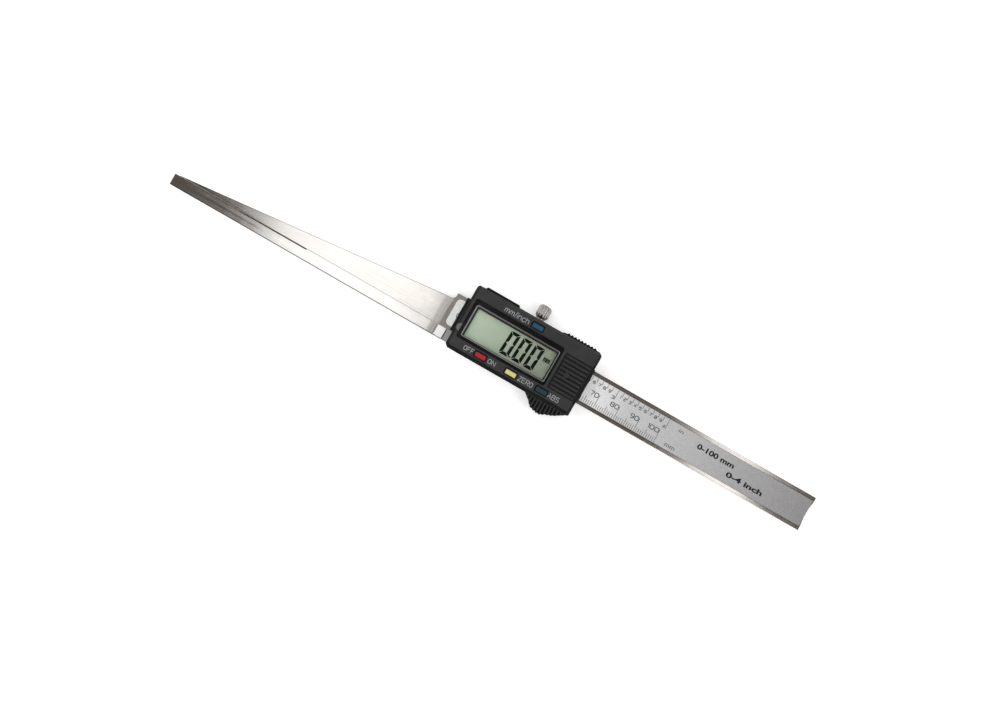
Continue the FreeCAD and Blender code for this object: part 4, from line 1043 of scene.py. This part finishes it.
def display_surround():
    """The raised silver frame, and a painted shadow inside it, wider on the left and upper sides."""
    low, high = TRIM
    base, top = 0.0, high.z - low.z
    silver = rounded_ring(low, high, 0.9 * MM, [
        (0.0, base, 0.0), (0.0, top - 0.06 * MM, 0.0), (0.07 * MM, top, 0.0), (0.36 * MM, top, 0.0),
        (0.46 * MM, base + 0.05 * MM, 0.0), (0.46 * MM, base, 0.0),
    ], low.z)
    add_piece("display_frame_rim", finished(silver, "display_frame_rim"), "slider", "trim_silver",
              stands_for=("display_frame",))
    # painted shadow: a dark ring inside the frame, wider at the left and above
    frame_shadow = rounded_ring(low, high, 0.9 * MM, [
        (0.48 * MM, 0.0, 0.0), (0.48 * MM, INK, 0.0), (0.62 * MM, INK, 0.4 * MM), (0.62 * MM, 0.0, 0.4 * MM),
    ], low.z + HAIR)
    add_piece("display_frame_shadow", finished(frame_shadow, "display_frame_shadow", smooth=False), "slider", "bezel_black",
              INKS["frame_shadow"])


def window_tab():
    """The half-round end of the window that fills the notch beside the display."""
    centre = Vector((BEZEL[0].x - 0.05 * MM, NOTCH_Y))
    floor_z = FACE_Z - 0.5 * MM
    build = bmesh.new()
    levels = [(0.98, -0.7), (1.0, -0.66), (1.0, 0.22), (0.92, 0.36), (0.70, 0.44)]
    steps = 20
    rings = []
    for share, height in levels:
        radius = NOTCH_RADIUS * share - 0.06 * MM
        ring = []
        for step in range(steps + 1):
            angle = math.pi / 2 + math.pi * step / steps
            ring.append(build.verts.new((max(centre.x + radius * math.cos(angle), HOUSING[0].x + 0.5 * MM),
                                         centre.y + radius * math.sin(angle), floor_z + height * MM)))
        rings.append(ring)
    for ring, following in zip(rings, rings[1:]):
        for index in range(len(ring)):
            after = (index + 1) % len(ring)
            build.faces.new((ring[index], ring[after], following[after], following[index]))
    build.faces.new(rings[-1])
    build.faces.new(list(reversed(rings[0])))
    add_piece("window_tab", finished(build, "window_tab"), "slider", "clear_window", MATERIALS["tab"])


def legends():
    """The words beside the keys."""
    rows = [
        ("mm/inch", (-15.2, 10.95), (-3.3, 13.55)),
        ("OFF", (-22.5, -12.1), (-17.6, -9.9)),
        ("ON", (-10.6, -12.1), (-6.9, -9.9)),
        ("ZERO", (4.5, -12.1), (11.6, -9.8)),
        ("ABS", (19.2, -12.1), (24.6, -9.8)),
    ]
    words = [
        stroke_words(text, tuple(value * MM for value in low), tuple(value * MM for value in high), FACE_Z,
                     0.27 * MM)
        for text, low, high in rows
    ]
    add_piece("key_legends", join_meshes("key_legends", words), "slider", "housing_black", INKS["legend"])


def key_wells():
    """Painted shadow round the keys: thin dark rings on the face, widest at the left and above."""
    flange, near = 0.40 * MM, 0.08 * MM
    key_shadow_meshes = []
    for low, high in KEY.values():
        inner_low, inner_high = low.xy + Vector((flange, flange)), high.xy - Vector((flange, flange))
        grown_low, grown_high = inner_low - Vector((near, near)), inner_high + Vector((near, near))
        wide, even = 0.18 * MM, 0.24 * MM
        shade_low = grown_low - Vector((wide + even, even))
        shade_high = grown_high + Vector((even, wide + even))
        # painted shadow: the ring is wider at the left and above
        ring = rounded_ring(shade_low, shade_high, 0.4 * MM, [
            (0.0, 0.0, 0.0), (0.0, INK, 0.0), (even, INK, wide), (even, 0.0, wide),
        ], FACE_Z)
        bmesh.ops.recalc_face_normals(ring, faces=ring.faces)
        mesh = bpy.data.meshes.new("key_shadow")
        ring.to_mesh(mesh)
        ring.free()
        key_shadow_meshes.append(mesh)
    add_piece("key_wells", join_meshes("key_wells", key_shadow_meshes), "slider", "housing_black", INKS["key_shadow"])


# --- lock screw -----------------------------------------------------------------------------------

def lock_screw():
    """The knurled thumb screw with its driver slot."""
    centre = middle(LOCK)
    head_start, head_end = LOCK[1].y - 6.1 * MM, LOCK[1].y
    tree, identifiers = knurl_tree()
    head = grown(tree, identifiers, {
        "Teeth": 14, "Radius": LOCK[1].x, "Depth": 0.34 * MM, "Start": head_start,
        "Length": head_end - head_start,
        "Chamfer": 0.85 * MM, "Height": centre.z, "Metal": MATERIALS["nickel"],
    })
    slot = box_mesh((-4 * MM, head_end - 1.2 * MM, centre.z - 0.4 * MM),
                    (4 * MM, head_end + MM, centre.z + 0.4 * MM))
    cutter = bpy.data.objects.new("slot cutter", slot)
    bpy.context.scene.collection.objects.link(cutter)
    head = worked(head, [("BOOLEAN", {"operation": "DIFFERENCE", "object": cutter, "solver": "EXACT"})])
    bpy.data.objects.remove(cutter)
    turned = []
    for radius, start, end in ((2.0 * MM, 15.3 * MM, head_start + 0.05 * MM),
                               (1.5 * MM, LOCK[0].y, 15.35 * MM)):
        build = bmesh.new()
        across = Matrix.Translation((0, 0.5 * (start + end), centre.z)) @ Matrix.Rotation(math.pi / 2, 4, "X")
        bmesh.ops.create_cone(build, cap_ends=True, segments=48, radius1=radius, radius2=radius,
                              depth=end - start,
                              matrix=across)
        mesh = bpy.data.meshes.new("turned")
        build.to_mesh(mesh)
        build.free()
        turned.append(mesh)
    build = bmesh.new()
    for mesh in [head, *turned]:
        build.from_mesh(mesh)
    name = "lock_screw_knurled"
    add_piece(name, finished(build, name), "lock_screw", "nickel", stands_for=("lock_screw",))


# --- thumb grip -----------------------------------------------------------------------------------

GRIP_OUTLINE = ((0.155, 0.48), (0.24, 0.80), (0.355, 0.93), (0.46, 0.99), (0.605, 0.78), (0.755, 0.57),
                (0.88, 0.30))


def grip_tree():
    """A ribbed pad whose outer edge follows a curve and is scalloped between the ribs, on a flat back."""
    tree, given, identifiers = geometry_tree("Ribbed Pad", {
        "Columns": 97, "Left": 0.0, "Right": 20.0 * MM, "Root": 0.0, "Reach": 5.6 * MM, "Rib Pitch": 1.6 * MM,
        "Rib Depth": 0.75 * MM, "Scallop": 0.4 * MM, "Back": 0.0, "Front": 8.0 * MM, "Fall": 0.7 * MM,
        "Moulding": None,
    })
    outputs = given.outputs
    grid = put(tree, "GeometryNodeMeshGrid", {"Size X": 1.0, "Size Y": 1.0, "Vertices X": outputs["Columns"],
                                              "Vertices Y": 11})
    split = put(tree, "ShaderNodeSeparateXYZ", {0: put(tree, "GeometryNodeInputPosition").outputs[0]})
    along = maths(tree, "ADD", split.outputs[0], 0.5)
    outward = maths(tree, "SUBTRACT", 0.5, split.outputs[1])
    outline = put(tree, "ShaderNodeFloatCurve", {"Value": along})
    points = outline.mapping.curves[0].points
    points[0].location, points[1].location = (0.0, 0.02), (1.0, 0.02)
    for x, y in GRIP_OUTLINE:
        points.new(x, y)
    outline.mapping.update()
    width = maths(tree, "SUBTRACT", outputs["Right"], outputs["Left"])
    place_x = maths(tree, "MULTIPLY_ADD", along, width, outputs["Left"])
    phase = maths(tree, "MULTIPLY", maths(tree, "DIVIDE", place_x, outputs["Rib Pitch"]), math.pi)
    valley = maths(tree, "POWER", maths(tree, "ABSOLUTE", maths(tree, "COSINE", phase)), 3.0)
    bitten = maths(tree, "MULTIPLY", maths(tree, "MULTIPLY", valley, outputs["Scallop"]), outline.outputs[0])
    reach = maths(tree, "SUBTRACT", maths(tree, "MULTIPLY", outline.outputs[0], outputs["Reach"]), bitten)
    place_y = maths(tree, "SUBTRACT", outputs["Root"], maths(tree, "MULTIPLY", outward, reach))
    flat = put(tree, "ShaderNodeCombineXYZ", {0: place_x, 1: place_y, 2: outputs["Back"]}).outputs[0]
    kept = put(tree, "GeometryNodeCaptureAttribute", {"Geometry": grid.outputs[0]})
    for label, value in (("Outward", outward), ("Valley", valley)):
        kept.capture_items.new("FLOAT", label)
        tree.links.new(value, kept.inputs[label])
    spread = put(tree, "GeometryNodeSetPosition", {"Geometry": kept.outputs["Geometry"],
                                                   "Position": flat}).outputs[0]
    lifted = put(tree, "GeometryNodeExtrudeMesh", {
        "Mesh": spread, "Offset": (0.0, 0.0, 1.0),
        "Offset Scale": maths(tree, "SUBTRACT", outputs["Front"], outputs["Back"]), "Individual": False,
    })
    rim = maths(tree, "POWER", kept.outputs["Outward"], 6.0)
    under = remap(tree, kept.outputs["Outward"], 0.0, 0.12)
    sunk = maths(tree, "MULTIPLY", maths(tree, "MULTIPLY", kept.outputs["Valley"], outputs["Rib Depth"]),
                 under)
    sunk = maths(tree, "ADD", sunk, maths(tree, "MULTIPLY", rim, outputs["Fall"]))
    lowered = put(tree, "ShaderNodeCombineXYZ", {2: maths(tree, "MULTIPLY", sunk, -1.0)}).outputs[0]
    ribbed = put(tree, "GeometryNodeSetPosition", {
        "Geometry": lifted.outputs["Mesh"], "Selection": lifted.outputs["Top"], "Offset": lowered,
    }).outputs[0]
    back = put(tree, "GeometryNodeFlipFaces", {"Mesh": spread}).outputs[0]
    both = put(tree, "GeometryNodeJoinGeometry")
    tree.links.new(ribbed, both.inputs[0])
    tree.links.new(back, both.inputs[0])
    closed = put(tree, "GeometryNodeMergeByDistance",
                 {"Geometry": both.outputs[0], "Distance": 0.002 * MM}).outputs[0]
    end_tree(tree, closed, outputs["Moulding"])
    return tree, identifiers


def thumb_grip():
    """The ribbed thumb rest, with its plain foot under the housing's edge."""
    tree, identifiers = grip_tree()
    low, high = GRIP
    root = HOUSING[0].y - 0.1 * MM
    ribbed = grown(tree, identifiers, {
        "Left": low.x, "Right": high.x, "Root": root, "Reach": root - low.y, "Back": low.z, "Front": high.z,
        "Moulding": MATERIALS["grip_black"],
    })
    foot = box_mesh((low.x, root - 0.05 * MM, low.z),
                    (high.x, high.y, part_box("slider_frame")[0].z + 3.6 * MM))
    build = bmesh.new()
    for mesh in (ribbed, foot):
        build.from_mesh(mesh)
    add_piece("thumb_grip_ribbed", finished(build, "thumb_grip_ribbed"), "slider", "grip_black",
              stands_for=("thumb_grip",))


# --- softened shells ------------------------------------------------------------------------------

EDGE_WIDTHS = {
    "beam_wedge": 0.07,
    "feeler_strip": 0.07,
    "slider_frame": 0.10,
    "rear_cover": 0.15,
    "end_stop": 0.12,
    "front_housing": 0.16,
    "battery_cover": 0.12,
    "display_bezel": 0.06,
    "button_power": 0.22,
    "button_zero": 0.22,
    "button_abs": 0.22,
    "button_units": 0.22,
    "wiper_left": 0.25,
    "wiper_right": 0.25,
}


SHOULDER_X = LABEL[0].x - 1.0 * MM
GROUND_EDGES = {
    "feeler_strip": (lambda end: end.y < STRIP[0].y + HAIR, 0.36 * MM),
    "beam_wedge": (lambda end: end.x < SHOULDER_X and end.y > -7.99 * MM, 0.20 * MM),
}


# --- stage ----------------------------------------------------------------------------------------

VIEW_CENTRE = Vector((-6.7 * MM, -7.27 * MM))
VIEW_WIDTH = 433.8 * MM
VIEW_ROLL = math.radians(29.83)
LENS = 200.0
SENSOR = 36.0
CARD_HEIGHT = 0.22
ROOM = 1.55


def floor():
    """A plain pale sheet under the caliper."""
    material, tree, shader = new_material("pale floor", Roughness=0.85, Specular_IOR_Level=0.1,
                                          Emission_Strength=0.32,
                                          Emission_Color=grey(1.0))
    paper = use(tree, SPECKLE, Dot_Size=900.0, Cloud_Size=30.0)
    tree.links.new(blend_colour(tree, maths(tree, "MULTIPLY", paper["Clouds"], 0.4), grey(0.93), grey(0.90)),
                   shader.inputs["Base Color"])
    build = bmesh.new()
    bmesh.ops.create_grid(build, x_segments=1, y_segments=1, size=4.0,
                          matrix=Matrix.Translation((0, 0, CAD_BOX[0].z - HAIR)))
    mesh = bpy.data.meshes.new("floor")
    build.to_mesh(mesh)
    build.free()
    mesh.materials.append(material)
    plane = bpy.data.objects.new("floor", mesh)
    bpy.context.scene.collection.objects.link(plane)


def card(name, centre, width, depth, brightness, turn=(0.0, 0.0, 0.0)):
    """A soft light card: a rectangle of even brightness facing down, or turned."""
    light = bpy.data.lights.new(name, "AREA")
    light.shape = "RECTANGLE"
    light.size = width
    light.size_y = depth
    light.energy = brightness * math.pi * width * depth
    lamp = bpy.data.objects.new(name, light)
    lamp.location = centre
    lamp.rotation_euler = turn
    lamp.visible_camera = False
    bpy.context.scene.collection.objects.link(lamp)


def lighting():
    """A pale room with a dark ceiling and skirting, and soft cards over the blade and the far end of the
    beam."""
    world = bpy.data.worlds.new("studio")
    bpy.context.scene.world = world
    world.use_nodes = True
    tree = world.node_tree
    tree.nodes.clear()
    upward = put(tree, "ShaderNodeSeparateXYZ",
                 {0: put(tree, "ShaderNodeTexCoord").outputs["Generated"]}).outputs[2]
    ceiling = remap(tree, upward, 0.58, 0.93, kind="SMOOTHSTEP")
    skirting = remap(tree, upward, 0.34, 0.20, kind="SMOOTHSTEP")
    colour = blend_colour(tree, ceiling, grey(ROOM), rgb(0.125, 0.105, 0.090))
    colour = blend_colour(tree, skirting, colour, grey(0.10))
    seen = put(tree, "ShaderNodeLightPath").outputs["Is Camera Ray"]
    colour = blend_colour(tree, seen, colour, grey(1.0))
    back = put(tree, "ShaderNodeBackground", {"Color": colour})
    leave = put(tree, "ShaderNodeOutputWorld")
    tree.links.new(back.outputs[0], leave.inputs["Surface"])
    card("blade card", (-0.0875, 0.0, CARD_HEIGHT), 0.093, 0.20, 1.72)
    card("beam card", (0.1115, 0.0, CARD_HEIGHT), 0.032, 0.20, 1.72)
    card("side key", (-1.5, 0.35, 0.8), 0.8, 0.8, 1.6, turn=(math.radians(-8), math.radians(-62), 0))
    card("end key", (1.0, 0.0, 1.25), 0.5, 0.5, 4.5, turn=(0, math.radians(36), 0))


def camera():
    """The camera above the caliper, rolled to the angle it is shown at."""
    data = bpy.data.cameras.new("camera")
    data.lens = LENS
    data.sensor_width = SENSOR
    data.clip_end = 50.0
    distance = VIEW_WIDTH * LENS / SENSOR
    eye = bpy.data.objects.new("camera", data)
    eye.location = (VIEW_CENTRE.x, VIEW_CENTRE.y, distance)
    eye.rotation_euler = (0, 0, VIEW_ROLL)
    bpy.context.scene.collection.objects.link(eye)
    bpy.context.scene.camera = eye


for node_name, width in EDGE_WIDTHS.items():
    softened_node(node_name, width, ground=GROUND_EDGES.get(node_name))
scale_marks()
range_print()
oil_lines()
display_digits()
display_surround()
window_tab()
legends()
key_wells()
thumb_grip()
lock_screw()
floor()
lighting()
camera()
bpy.context.scene.view_settings.view_transform = "Standard"
